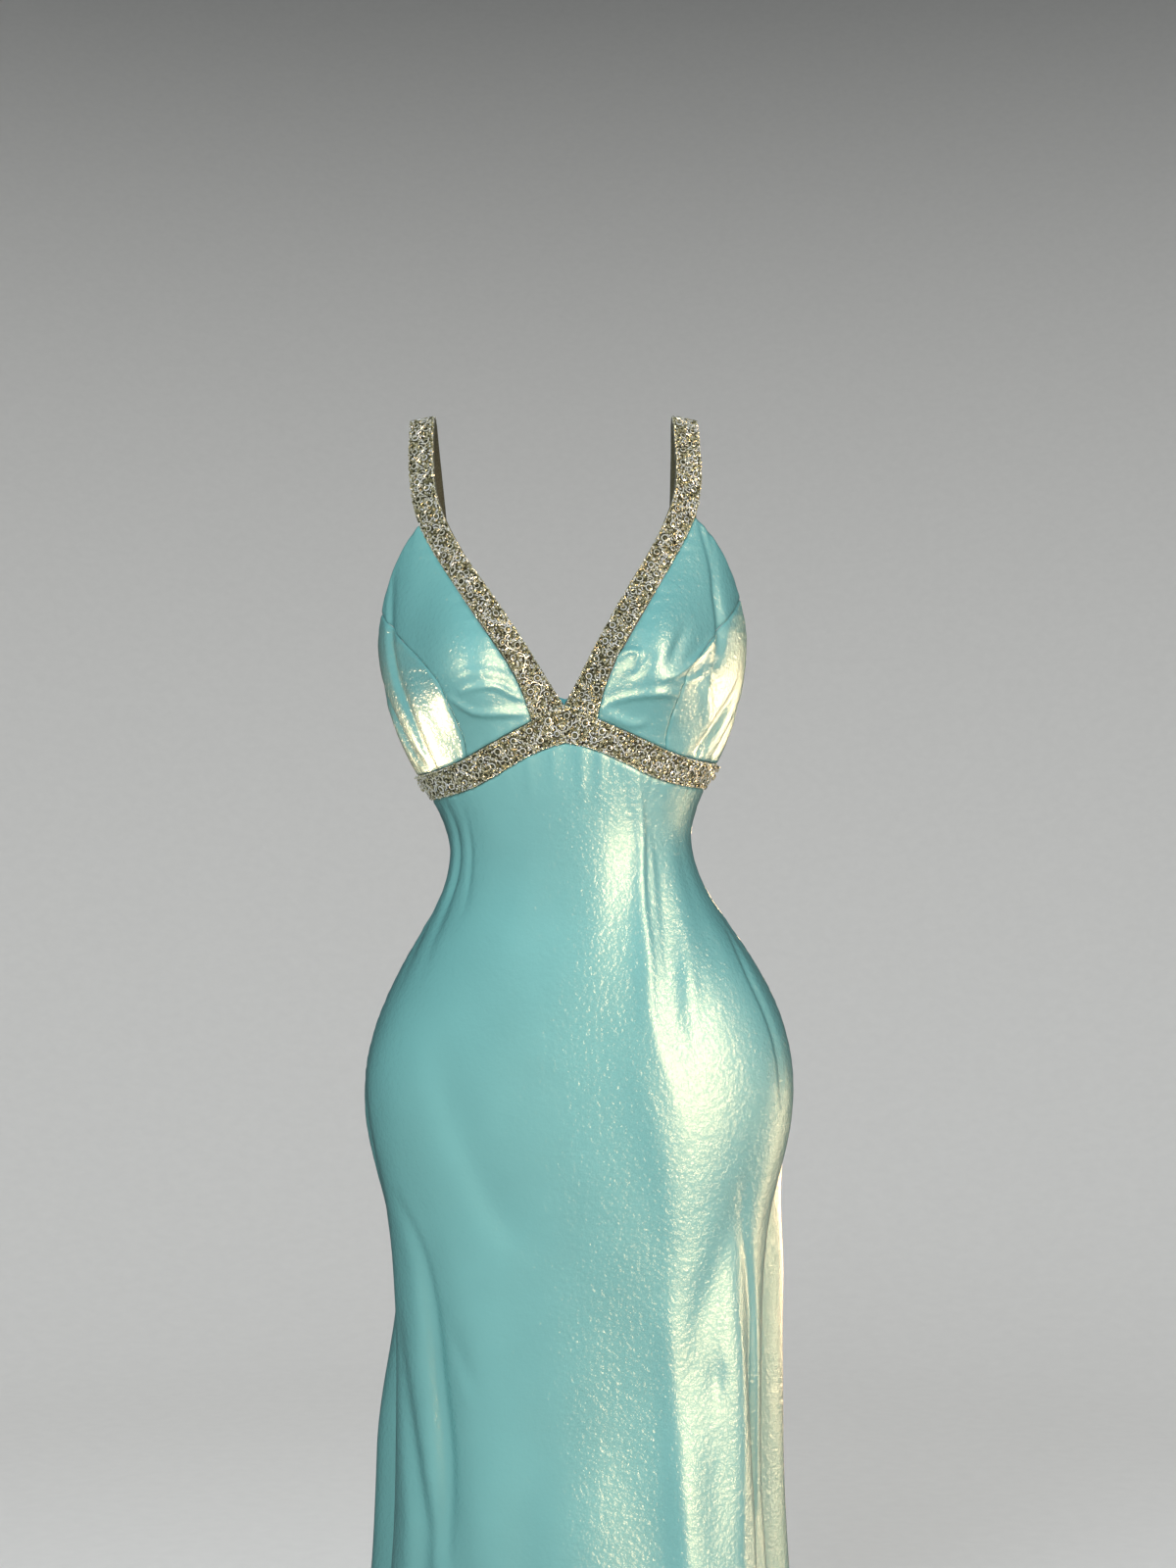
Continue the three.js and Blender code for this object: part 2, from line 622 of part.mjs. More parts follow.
const gown = new THREE.Group();
function addPiece(name, geometry, material, parent = gown) {
  const mesh = new THREE.Mesh(geometry, material);
  mesh.name = name;
  parent.add(mesh);
  return mesh;
}

const backs = [backGrid(1), backGrid(-1)];
addPiece("skirt_front", skirtFront(), satin);
addPiece("band_underbust", bandPiece(), beading);
for (const [name, side] of [
  ["left", 1],
  ["right", -1],
]) {
  addPiece("cup_front_" + name, cupPiece(cupFrontEdges, CUP_FRONT_GRID, side), satin);
  addPiece("cup_side_" + name, cupPiece(cupSideEdges, CUP_SIDE_GRID, side), satin);
  addPiece("strap_" + name, strapPiece(side), beading);
}
addPiece("back_left", wall(backs[0], -SATIN, 0), satin);
addPiece("back_right", wall(backs[1], -SATIN, 0), satin);
addPiece("zip_tape", zipTape(backs), tapeCloth);

// The slider lies along the seam, and the pull hangs straight down from its pin.
const [seamTop, seamNext] = [0, 1].map((i) => backs[0][i][BACK_GRID.across].point);
const seamStep = seamTop.distanceTo(seamNext);
const zip = new THREE.Group();
zip.position.copy(pose(seamTop.clone().lerp(seamNext, SLIDER_DROP / seamStep).setX(0)));
zip.rotation.x = -Math.atan2(seamTop.y - seamNext.y, seamTop.z - seamNext.z);
gown.add(zip);
addPiece("zip_slider", slider(), zipMetal, zip);
const hinge = new THREE.Vector3(0, PIN.y, PIN.z).applyEuler(zip.rotation).add(zip.position);
addPiece("zip_pull", pull(), zipMetal).position.copy(hinge);

export default gown;
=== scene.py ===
"""A floor-length evening gown of aqua satin, with beaded straps and a beaded band under the bust.

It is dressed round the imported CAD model. The form is worked out in millimetres, as the CAD's
is, from a place on the body: an angle, 0 at the centre front and positive towards +X, and a height.
"""

import json

import bpy
import numpy as np
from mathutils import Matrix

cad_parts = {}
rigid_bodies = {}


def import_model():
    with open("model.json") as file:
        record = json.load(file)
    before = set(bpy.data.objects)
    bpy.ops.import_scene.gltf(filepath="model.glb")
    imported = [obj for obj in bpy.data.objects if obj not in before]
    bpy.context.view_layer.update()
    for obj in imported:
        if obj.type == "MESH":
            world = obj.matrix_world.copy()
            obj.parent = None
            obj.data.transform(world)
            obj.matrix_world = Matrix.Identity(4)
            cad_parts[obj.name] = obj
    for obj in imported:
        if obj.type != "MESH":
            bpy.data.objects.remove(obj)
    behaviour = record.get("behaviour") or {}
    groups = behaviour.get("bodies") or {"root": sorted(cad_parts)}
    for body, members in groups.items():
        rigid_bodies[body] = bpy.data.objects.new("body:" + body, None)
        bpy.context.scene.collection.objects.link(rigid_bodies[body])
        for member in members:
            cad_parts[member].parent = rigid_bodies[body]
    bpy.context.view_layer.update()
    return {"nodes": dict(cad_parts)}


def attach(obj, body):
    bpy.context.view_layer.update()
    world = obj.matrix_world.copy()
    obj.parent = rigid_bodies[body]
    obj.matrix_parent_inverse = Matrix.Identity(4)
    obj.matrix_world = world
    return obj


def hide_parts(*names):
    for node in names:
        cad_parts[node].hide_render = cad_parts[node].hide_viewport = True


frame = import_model()

bl_info = {
    "name": "Evening Gown",
    "version": (1, 0, 0),
    "blender": (4, 5, 0),
    "location": "View3D > Sidebar > Gown",
    "description": "Makes a satin evening gown with beaded straps and band round its CAD frame",
    "category": "Object",
}

# The CAD's sizes, in millimetres
SEAM = 0.3
HEM = -1450.0
KNEE = -1000.0
FOLD_ONSET = 220.0
SIDE = np.pi / 2
BACK = np.pi
LEAN = np.radians(2.3)
LEAN_HEIGHT = -580.0
LEAN_BLEND = 60.0
SHOULDER_LEVEL = -150.0
UNDERARM = -213.0
CUP_SEAM_FOOT = np.radians(34.5)
ZIP_END = -640.0
ZIP_COIL_LIFT = -3.25  # from the cloth's outer face in to the middle of the zip's coil
ZIP_COIL_STEP = 1.3
TRIM_LIFT = 0.25  # from the trim's place on the form out to its cloth's face
TRIM_CLOTH = 1.6
STRAP_WIDTH = 24.0
ROUND = 140.0  # the radius that turns an angle into a rough distance round the body
NUDGE = 0.004  # half the turn over which the form's slope is taken

# Sizes of the sewing and the beadwork, in millimetres
HEM_STITCH = 16.0  # from the hem's edge up to its stitching
ROLL = 1.5  # how far from a seam the cloth rolls in
PUCKER, PUCKER_REACH = 0.45, 9.0
STONE_STEP, STONE_HEIGHT = 8.4, 1.9
SCROLL_STEP, SCROLL_WAVE = 3.6, 30.4  # from tube to tube, and from one sway to the next
LEAF_AHEAD, LEAF_OUT = 1.2, 2.6
TUBE_HALF, TUBE_RADIUS = 1.7, 0.55
EDGE = 0.75  # from the strip's edge in to the middle of its outer row of beads

# height, half the width, depth in front, depth behind, power of the rounded outline
SECTIONS = np.array(
    [
        (-1450, 290, 222, 335, 2),
        (-1320, 236, 186, 264, 2.05),
        (-1190, 194, 153, 204, 2.1),
        (-1060, 174, 129, 158, 2.15),
        (-960, 169, 117, 136, 2.2),
        (-860, 168.5, 111, 127, 2.25),
        (-790, 170, 111, 127, 2.3),
        (-720, 178, 114, 132, 2.3),
        (-660, 192.5, 117, 138, 2.3),
        (-610, 196.3, 118, 140, 2.3),
        (-560, 187.5, 115, 133, 2.3),
        (-520, 171, 109, 120, 2.3),
        (-480, 148, 101, 102, 2.25),
        (-440, 124, 95, 86, 2.2),
        (-400, 111.5, 95, 79, 2.2),
        (-360, 118.5, 101, 86, 2.25),
        (-320, 139.5, 108, 98, 2.3),
        (-265, 161, 110, 106, 2.35),
        (-210, 168.5, 108, 108, 2.4),
        (-150, 163, 98, 106, 2.4),
        (-90, 150, 84, 100, 2.4),
    ]
)

# The fullness of each cup: how far out, its centre's x and z, its reach across, up and down
BUST_OUT, BUST_X, BUST_Z, BUST_ACROSS, BUST_UP, BUST_DOWN = 40, 88, -238, 48, 78, 52

# The skirt's folds: top, angle at the top, knee and hem, half width in degrees, depth at the
# knee and at the hem
FOLDS = [
    (-650, -51, -40, -32, 8, -6, -22),
    (-780, -78, -54, -49, 6, -7, -22),
    (-860, -12, -13, -9, 8, -3, -20),
    (-730, 8, 15, 12, 10, -4, -22),
    (-850, 46, 46, 38, 7, 0, -22),
    (-660, 56, 58, 54, 13, 9, 6),
    (-670, 53, 71, 66, 6, -7, -22),
    (-680, -91, -92, -84, 6, -13, -24),
    (-600, 92, 91, 86, 6, -11, -24),
    (-740, -112, -109, -104, 11, 30, 18),
    (-590, 111, 109, 106, 11, 33, 18),
    (-760, -136, -133, -129, 8, -7, -26),
    (-720, 138, 134, 131, 8, -7, -26),
    (-840, -162, -159, -156, 8, -5, -25),
    (-810, 164, 161, 159, 8, -5, -25),
]

# The cloth's creases: half width on the path's lower and upper angle side in millimetres,
# then the path as (degrees, height, depth), ridges positive and troughs negative.
# Left is at +X, as in the names of the pieces.
CREASES = {
    "right cup side deep": (6, 9, [
        (-66, -150, -1), (-65, -183, -3), (-63, -234, -5), (-58, -270, -4.5), (-56, -318, -2),
    ]),
    "right cup side low": (7, 10, [
        (-91, -232, -1), (-80, -260, -4.5), (-74, -285, -5), (-69, -304, -3), (-58, -320, -1),
    ]),
    "right cup side swell": (14, 14, [
        (-52, -236, 1), (-50, -262, 3), (-48, -290, 2), (-46, -312, 0.5),
    ]),
    "right cup drag 1": (3, 4, [
        (-33.8, -259, 0.8), (-28.2, -269, 2), (-23, -273, 2.5), (-14.5, -274, 2.5),
        (-5, -275, 1.2),
    ]),
    "right cup drag 2": (3, 3, [
        (-29, -254, 0.8), (-22.8, -250, 2), (-17, -250.5, 2.3), (-13, -257, 2), (-7, -265, 1),
    ]),
    "right cup drag 3": (5, 5, [
        (-31, -244, 0.5), (-24, -238, 1.6), (-16, -240, 1.4), (-11, -248, 0.6),
    ]),
    "left cup apex": (4, 9, [
        (52, -104, -0.5), (54, -150, -1.6), (53, -172, -2.6), (53.5, -204, -3.2),
        (51, -232, -1.4),
    ]),
    "left cup dip 1": (6, 6, [(36.5, -204, -0.6), (33, -222, -2.4), (30, -237, -0.8)]),
    "left cup dip 2": (5, 6, [(24, -225, -0.5), (20, -238, -2.2), (16, -248, -0.6)]),
    "left cup drag 1": (3, 3, [
        (10.8, -236, 0.6), (14.3, -226, 2), (19.5, -226, 2.2), (18, -240, 1.2),
    ]),
    "left cup drag 2": (3, 3, [(33, -251, 0.8), (38, -252, 1.8), (44, -246, 1)]),
    "left cup drag 3": (3, 4, [
        (8.5, -273, 0.8), (14.8, -265.5, 2.2), (26.3, -262, 2.8), (34, -264, 1),
    ]),
    "left cup drag 4": (3, 4, [(25, -250, 0.6), (33, -246, 2.2), (40.8, -233, 2.6), (50, -214, 1)]),
    "left cup drag 5": (3, 4, [(9, -273, 0.8), (12.5, -280, 2), (18.2, -287, 2.4), (23, -286, 1)]),
    "left cup side swell": (7, 9, [(55, -292, 1), (48.5, -264, 3), (48, -246, 1)]),
    "left cup side dip": (8, 9, [
        (73, -256, -1), (63.5, -282, -4.5), (55.5, -304, -4.5), (51, -316, -1.5),
    ]),
    "left cup side low": (6, 7, [(88, -268, -0.6), (80, -288, -3), (73, -308, -3), (68, -320, -1)]),
    "midriff ridge": (10, 4, [
        (24, -327, 0.8), (31, -366, 2), (33, -401, 2.8), (27, -450, 3), (20, -512, 2.8),
        (18, -556, 2.2), (21, -600, 1), (25, -640, 0.3),
    ]),
    "midriff trough": (6, 22, [
        (36, -366, -0.5), (42, -410, -1.4), (33, -468, -2), (25.5, -530, -1.6), (27, -570, -0.4),
    ]),
    "midriff fold": (8, 9, [
        (45, -455, 0.3), (38, -488, 1.4), (33, -518, 2.6), (30, -548, 1.4), (31, -590, 0.3),
    ]),
    "left hip ridge": (16, 42, [
        (13, -530, 0.4), (15, -580, 2.8), (18, -630, 4), (23, -690, 3.4), (29, -750, 1.2),
    ]),
    "midriff swell": (24, 18, [(17, -335, 0.3), (10, -425, 1.4), (1, -510, 1.4), (-4, -570, 0.5)]),
    "left waist dip": (12, 12, [
        (62, -380, -0.3), (60, -430, -0.9), (52, -474, -0.8), (45, -520, -0.3),
    ]),
    "right waist dip": (8, 10, [
        (-61, -352, -0.8), (-66, -404, -4), (-64, -448, -2.4), (-56, -500, -0.5),
    ]),
    "right waist fold": (5, 6, [(-50, -362, -0.5), (-52, -404, -1.8), (-48, -446, -0.6)]),
    "right waist side": (8, 8, [
        (-80, -372, -0.6), (-89, -414, -3.2), (-80, -462, -2), (-70, -505, -0.4),
    ]),
    "left waist side": (8, 8, [
        (80, -370, -0.6), (90, -408, -3), (84, -455, -2), (77, -500, -0.5),
    ]),
    "gather 1": (3, 4, [(3.4, -306, 1.2), (3.8, -330, 0.9), (4.4, -352, 0.2)]),
    "gather 2": (3, 4, [(-3, -306, 1), (-3.6, -324, 0.7), (-4, -340, 0.2)]),
    "gather 3": (4, 4, [(9.5, -312, 0.9), (10.5, -332, 0.7), (11.4, -352, 0.2)]),
    "gather 4": (4, 4, [(-11, -314, 0.8), (-12, -334, 0.6), (-12.5, -350, 0.2)]),
    "left hip line": (4, 8, [
        (72, -478, -0.8), (66, -510, -2.4), (65, -538, -2.4), (66, -570, -2.2), (66, -622, -0.8),
    ]),
    "right hip dip": (13, 18, [
        (-40, -560, -0.4), (-33, -613, -2.2), (-22, -707, -3.2), (-13, -740, -1.2),
    ]),
    "right thigh crease": (8, 10, [(-39, -823, -0.6), (-35, -848, -2), (-30, -874, -0.6)]),
    "left thigh dimple": (9, 9, [(42, -846, -0.6), (43, -864, -1.8), (43, -884, -0.6)]),
    "left thigh sweep": (16, 20, [
        (58, -640, -0.4), (50, -720, -2), (38, -800, -2.6), (34, -880, -0.8),
    ]),
    "right thigh drape": (11, 8, [
        (-62, -712, -0.8), (-52, -762, -3), (-48, -834, -5.6), (-46.5, -870, -6),
        (-43, -940, -5.4), (-43, -1020, -2.4),
    ]),
    "left thigh edge": (14, 40, [
        (25, -700, 0.4), (25, -760, 1.6), (26.5, -812, 2.8), (28, -856, 4.2), (30.5, -942, 6.6),
        (32.5, -1030, 7.6), (35, -1120, 5), (37, -1220, 0.5),
    ]),
    "left thigh band": (24, 8, [
        (50, -770, 0.3), (52, -825, 1.8), (53, -880, 2.8), (53, -960, 2.6), (52, -1030, 2.4),
        (52, -1110, 1),
    ]),
    "left thigh line": (8, 6, [
        (50, -690, -0.4), (55.5, -738, -1.6), (64.2, -804, -3.4), (67.2, -867, -4.2),
        (70, -956, -4.5), (68, -1034, -4), (66, -1120, -2.5), (65, -1200, -0.5),
    ]),
    "right hip side": (8, 12, [(-84, -600, -0.5), (-79, -655, -2.4), (-82, -720, -1)]),
    # Behind, where the small of the back gathers it and the seat lets it fall
    "back waist 1": (7, 9, [
        (98, -378, -0.5), (124, -402, -3.2), (150, -414, -2.8), (172, -408, -0.8),
    ]),
    "back waist 2": (6, 8, [
        (104, -420, -0.4), (130, -440, -2.4), (157, -446, -2.6), (173, -440, -0.6),
    ]),
    "back waist 3": (6, 7, [(118, -366, -0.3), (140, -380, -1.8), (164, -384, -0.4)]),
    "back waist 4": (7, 9, [
        (-96, -386, -0.5), (-121, -408, -3), (-148, -422, -3), (-171, -418, -0.8),
    ]),
    "back waist 5": (6, 7, [(-112, -432, -0.4), (-138, -452, -2.2), (-166, -456, -0.6)]),
    "back waist 6": (6, 8, [(-120, -372, -0.3), (-146, -388, -2), (-170, -392, -0.5)]),
    "seat drape 1": (14, 18, [
        (122, -500, -0.4), (126, -590, -1.8), (134, -680, -3), (141, -760, -1),
    ]),
    "seat drape 2": (14, 18, [
        (-118, -498, -0.4), (-124, -600, -2), (-131, -690, -3), (-138, -780, -1),
    ]),
    "seat fold 1": (9, 13, [(140, -668, -0.4), (156, -686, -2.4), (172, -682, -0.8)]),
    "seat fold 2": (9, 13, [(-138, -676, -0.4), (-155, -692, -2.2), (-171, -690, -0.8)]),
    "shoulder blade 1": (9, 9, [(118, -246, -0.4), (124, -290, -1.8), (121, -336, -1)]),
    "shoulder blade 2": (9, 9, [(-120, -242, -0.4), (-126, -286, -1.8), (-122, -340, -1)]),
    "zip ripple 1": (5, 6, [(174, -300, 0.4), (168, -318, 1.4), (158, -330, 0.4)]),
    "zip ripple 2": (5, 6, [(-174, -330, 0.4), (-167, -346, 1.3), (-157, -352, 0.4)]),
    "zip ripple 3": (6, 7, [(175, -500, 0.4), (168, -520, 1.5), (156, -530, 0.4)]),
    "zip ripple 4": (6, 7, [(-175, -540, 0.4), (-167, -556, 1.4), (-155, -560, 0.4)]),
}

# The band's upper and lower edges, by the angle in degrees
BAND = np.array(
    [
        (0, -267.5, -301.5),
        (8, -281, -309),
        (21, -297.5, -324),
        (35, -311, -336),
        (54, -320.5, -343.5),
        (90, -325, -347),
    ]
)

# The straps along the neckline: inner x and z, outer x and z
NECKLINE = np.array(
    [
        (101, -93, 123.8, -101),
        (83.5, -129, 103.5, -140),
        (61, -165, 81.5, -176),
        (39.5, -200, 60.5, -209),
        (19, -235, 41.5, -242),
        (0, -267.5, 24, -281),
    ]
)

# The straps over the shoulder: inner x, y, z and outer x, y, z
SHOULDER = np.array(
    [
        (107, -60, -72, 130, -49, -77),
        (109, -45, -46, 132.5, -36, -50),
        (109, -25, -19, 132.5, -19, -23),
        (108.5, -9, -3.5, 132, -6, -8),
        (108.5, 8, 0, 132, 9, -4),
        (108.5, 27, -6, 132, 26, -10),
        (108.5, 48, -25, 132, 42, -28),
        (107.5, 66, -55, 131.5, 54, -57),
        (106, 78.5, -90, 130, 62.5, -92),
    ]
)

# The straps down the back: inner x and z, outer x and z
STRAP_BACK = np.array([(104, -128, 128, -129), (101, -180, 125, -180), (98, -232, 122, -232)])

ARMHOLE = np.array([(141, -121), (151, -139), (158, -157), (163, -176)])
CUP_SEAM = np.array([(147, -199), (121, -228.5), (109.5, -245), (100, -268), (90, -294)])
BACK_TOP = np.array([(90, UNDERARM), (118, -224), (144, -231.5), (160, -233), (180, -256)])


def spline(places, values):
    """The natural cubic through the points (places, values), straight beyond both ends."""
    x, y = np.asarray(places, float), np.asarray(values, float)
    step = np.diff(x)
    inner = np.arange(1, len(x) - 1)
    system, right = np.eye(len(x)), np.zeros(len(x))
    system[inner, inner - 1], system[inner, inner + 1] = step[:-1], step[1:]
    system[inner, inner] = 2 * (step[:-1] + step[1:])
    right[inner] = 6 * np.diff(np.diff(y) / step)
    bend = np.linalg.solve(system, right)

    def curve(at):
        at = np.asarray(at, float)
        k = np.clip(np.searchsorted(x, at) - 1, 0, len(x) - 2)
        near = np.clip(at, x[0], x[-1])
        t = near - x[k]
        slope = (y[k + 1] - y[k]) / step[k] - step[k] * (2 * bend[k] + bend[k + 1]) / 6
        cubic = (bend[k + 1] - bend[k]) / (6 * step[k])
        on = y[k] + t * (slope + t * (bend[k] / 2 + t * cubic))
        return on + (at - near) * (slope + t * (bend[k] + 3 * t * cubic))

    return curve


half_width, depth_front, depth_back, power = (
    spline(SECTIONS[:, 0], SECTIONS[:, i]) for i in range(1, 5)
)


def both_sides(edge, column=1):
    """A table's edge as a smooth height over the angle, the same on the left and the right."""
    curve = spline(np.radians(edge[:, 0]), edge[:, column])
    return lambda angle: curve(np.abs(angle))


band_upper, band_lower, back_top = both_sides(BAND), both_sides(BAND, 2), both_sides(BACK_TOP)


def smooth(value, start, end):
    """0 before start, 1 after end, and 3t^2 - 2t^3 between them."""
    t = np.clip((value - start) / (end - start), 0, 1)
    return t * t * (3 - 2 * t)


def bell(distance):
    """e to the minus distance squared."""
    return np.exp(-distance * distance)


def plain_form(angle, z):
    """The body's form without folds: x = half width times sin^(2/n) and y = depth times
    cos^(2/n), n the section's power, with a bell of fullness in front for each cup."""
    n = 2 / power(z)
    across = np.sign(np.sin(angle)) * np.abs(np.sin(angle)) ** n
    ahead = np.sign(np.cos(angle)) * np.abs(np.cos(angle)) ** n
    x = half_width(z) * across
    reach = np.where(z > BUST_Z, BUST_UP, BUST_DOWN)
    cup = BUST_OUT * bell((np.abs(x) - BUST_X) / BUST_ACROSS) * bell((z - BUST_Z) / reach)
    y = np.where(ahead < 0, -depth_back(z) * ahead, -(depth_front(z) + cup) * ahead)
    return np.stack([x, y, z + 0 * x], -1)


def fold_depth(angle, z):
    """How far the skirt's folds move the form outwards: the sum of each fold's depth at that
    height times a bell of the turn from the fold's middle."""
    degrees = np.degrees(angle)
    out = np.zeros(np.broadcast(angle, z).shape)
    for top, start, middle, foot, reach, knee, hem in FOLDS:
        at_knee = np.clip((top - z) / (top - KNEE), 0, 1)
        below = np.clip((KNEE - z) / (KNEE - HEM), 0, 1)
        centre = start + (middle - start) * at_knee
        centre = centre + (foot - centre) * below
        turn = (degrees - centre + 180) % 360 - 180
        onset = smooth(-z, -top, FOLD_ONSET - top)
        to_hem = smooth(-z, -KNEE, -HEM)
        depth = knee * onset + (hem - knee * onset) * to_hem
        out += np.where(z > top, 0, depth * bell(turn / reach))
    return out


def form(angle, z):
    """The plain form moved out by its folds, square to the section's outline."""
    angle, z = np.broadcast_arrays(np.asarray(angle, float), np.asarray(z, float))
    along = plain_form(angle + NUDGE, z) - plain_form(angle - NUDGE, z)
    outward = np.stack([along[..., 1], -along[..., 0], 0 * z], -1)
    outward /= np.linalg.norm(outward, axis=-1, keepdims=True)
    return plain_form(angle, z) + outward * fold_depth(angle, z)[..., None]


def unit(vectors):
    """The vectors divided by their lengths."""
    return vectors / np.maximum(np.linalg.norm(vectors, axis=-1, keepdims=True), 1e-9)


def form_normal(angle, z):
    """Square to the form: the step round it crossed with the step up it."""
    along = form(angle + NUDGE, z) - form(angle - NUDGE, z)
    return unit(np.cross(along, form(angle, z + 1) - form(angle, z - 1)))


def pose(points):
    """The body's lean: what is above the hips turns to -X about the hips' centre, by a smooth
    step of the height, and the shoulders come back level."""
    x, y, z = points[..., 0], points[..., 1], points[..., 2]
    angle = LEAN * smooth(z, LEAN_HEIGHT - LEAN_BLEND, LEAN_HEIGHT + LEAN_BLEND)
    rise = z - LEAN_HEIGHT
    level = 1 - smooth(z, SHOULDER_LEVEL, 0)
    return np.stack(
        [
            x * np.cos(angle) - rise * np.sin(angle) - LEAN_HEIGHT * np.sin(LEAN),
            y,
            LEAN_HEIGHT + x * np.sin(angle) * level + rise * np.cos(angle),
        ],
        -1,
    )


def crease_depth(angle, z):
    """How far the creases move the cloth: for each, the nearest point of its smooth path gives
    the depth there, times a bell of the distance over the half width. The width goes from the
    low one to the high one with the sine of the turn from the path to the offset."""
    x = angle * ROUND
    out = np.zeros(x.shape)
    for low, high, path in CREASES.values():
        rows = np.array(path, float)
        places = np.arange(len(rows))
        fine = np.linspace(0, len(rows) - 1, 6 * len(rows))
        px = spline(places, np.radians(rows[:, 0]) * ROUND)(fine)
        pz = spline(places, rows[:, 1])(fine)
        depth = spline(places, rows[:, 2])(fine)
        reach = 2.6 * max(low, high)
        near = (x > px.min() - reach) & (x < px.max() + reach)
        near &= (z > pz.min() - reach) & (z < pz.max() + reach)
        if not near.any():
            continue
        dx, dz = np.diff(px), np.diff(pz)
        ox, oz = x[near][:, None] - px[:-1], z[near][:, None] - pz[:-1]
        share = np.clip((ox * dx + oz * dz) / (dx * dx + dz * dz), 0, 1)
        gx, gz = ox - share * dx, oz - share * dz
        gap = np.hypot(gx, gz)
        k = gap.argmin(1)
        row = np.arange(len(k))
        turn = np.maximum(gap[row, k] * np.hypot(dx[k], dz[k]), 1e-6)
        side = (dx[k] * gz[row, k] - dz[k] * gx[row, k]) / turn
        width = (low + high) / 2 + side * (high - low) / 2
        at = depth[k] + (depth[k + 1] - depth[k]) * share[row, k]
        out[near] += at * bell(gap[row, k] / width)
    return out


def ripple(seed, shortest, longest, count=14):
    """An uneven wave over the plane of two lengths: a sum of sines of random heading, phase
    and wavelength between the shortest and the longest, about 1 at its highest."""
    random = np.random.default_rng(seed)
    length = random.uniform(shortest, longest, count)
    heading = random.uniform(0, np.pi, count)
    phase = random.uniform(0, 2 * np.pi, count)

    def wave(x, y):
        total = np.zeros(np.broadcast(x, y).shape)
        for size, turn, start in zip(length, heading, phase):
            total += np.sin(2 * np.pi * (x * np.cos(turn) + y * np.sin(turn)) / size + start)
        return total / np.sqrt(2 * count)

    return wave


body_wave = ripple(3, shortest=38, longest=95)
seam_wave = ripple(8, shortest=8, longest=17)


def pucker(gap, along, depth):
    """A seam seen from the cloth beside it: the edge rolls in by the depth over a millimetre
    and a half, and uneven puckers run square to it and fade in about a centimetre."""
    roll = depth * bell(gap / ROLL)
    return seam_wave(along, 0 * along) * PUCKER * np.exp(-gap / PUCKER_REACH) - roll


# Curves in the plane of angle and height, as functions of the share along them


def curve_through(points):
    """The smooth curve through the points, even in length, and the points' shares along it."""
    points = np.asarray(points, float)
    step = np.hypot(np.diff(points[:, 0]) * ROUND, np.diff(points[:, 1]))
    places = np.concatenate([[0], np.cumsum(step)])
    angle, z = (spline(places, points[:, i]) for i in (0, 1))
    total = places[-1]
    return lambda share: np.stack([angle(share * total), z(share * total)], -1), places / total


def part_of(curve, start, end):
    """The part of a curve between two shares."""
    return lambda share: curve(start + (end - start) * np.asarray(share))


def straight_down(angle, top, bottom):
    """The line down the form at one angle."""
    return lambda share: np.stack([angle + 0 * share, top + (bottom - top) * share], -1)


def round_body(start, end, height):
    """The line round the form from one angle to another, at a height that follows the angle."""

    def curve(share):
        angle = start + (end - start) * share
        return np.stack([angle, height(angle) + 0 * angle], -1)

    return curve


def mirrored(curve):
    """The curve on the other side of the body."""
    return lambda share: curve(share) * [-1, 1]


def angle_at(x, z, behind=False):
    """The angle of the front point that is seen x from the centre, or of the back point."""
    share = np.minimum(1, np.abs(x) / half_width(z))
    angle = np.arcsin(share ** (power(z) / 2))
    return np.sign(x) * (np.pi - angle if behind else angle)


def places_of(x, z, behind=False):
    """The angle and height of points seen x from the centre."""
    return np.stack([angle_at(x, z, behind), z], -1)


CUP_TOP = places_of(NECKLINE[:1, 2], NECKLINE[:1, 3])
BAND_FOOT = np.radians(BAND[1, 0])
neck_inner, _ = curve_through(
    np.vstack([places_of(NECKLINE[:-1, 0], NECKLINE[:-1, 1]), [[0, band_upper(0)]]])
)
neck_outer, _ = curve_through(
    np.vstack(
        [
            CUP_TOP,
            places_of(NECKLINE[1:-1, 2], NECKLINE[1:-1, 3]),
            [[BAND_FOOT, band_upper(BAND_FOOT)]],
        ]
    )
)
armhole, armhole_shares = curve_through(
    np.vstack([CUP_TOP, places_of(ARMHOLE[:, 0], ARMHOLE[:, 1]), [[SIDE, UNDERARM]]])
)
ARMHOLE_SEAM = armhole_shares[len(ARMHOLE)]  # the curved seam starts at the table's last place
cup_seam, _ = curve_through(
    np.vstack(
        [
            armhole(ARMHOLE_SEAM)[None],
            places_of(CUP_SEAM[:, 0], CUP_SEAM[:, 1]),
            [[CUP_SEAM_FOOT, band_upper(CUP_SEAM_FOOT)]],
        ]
    )
)


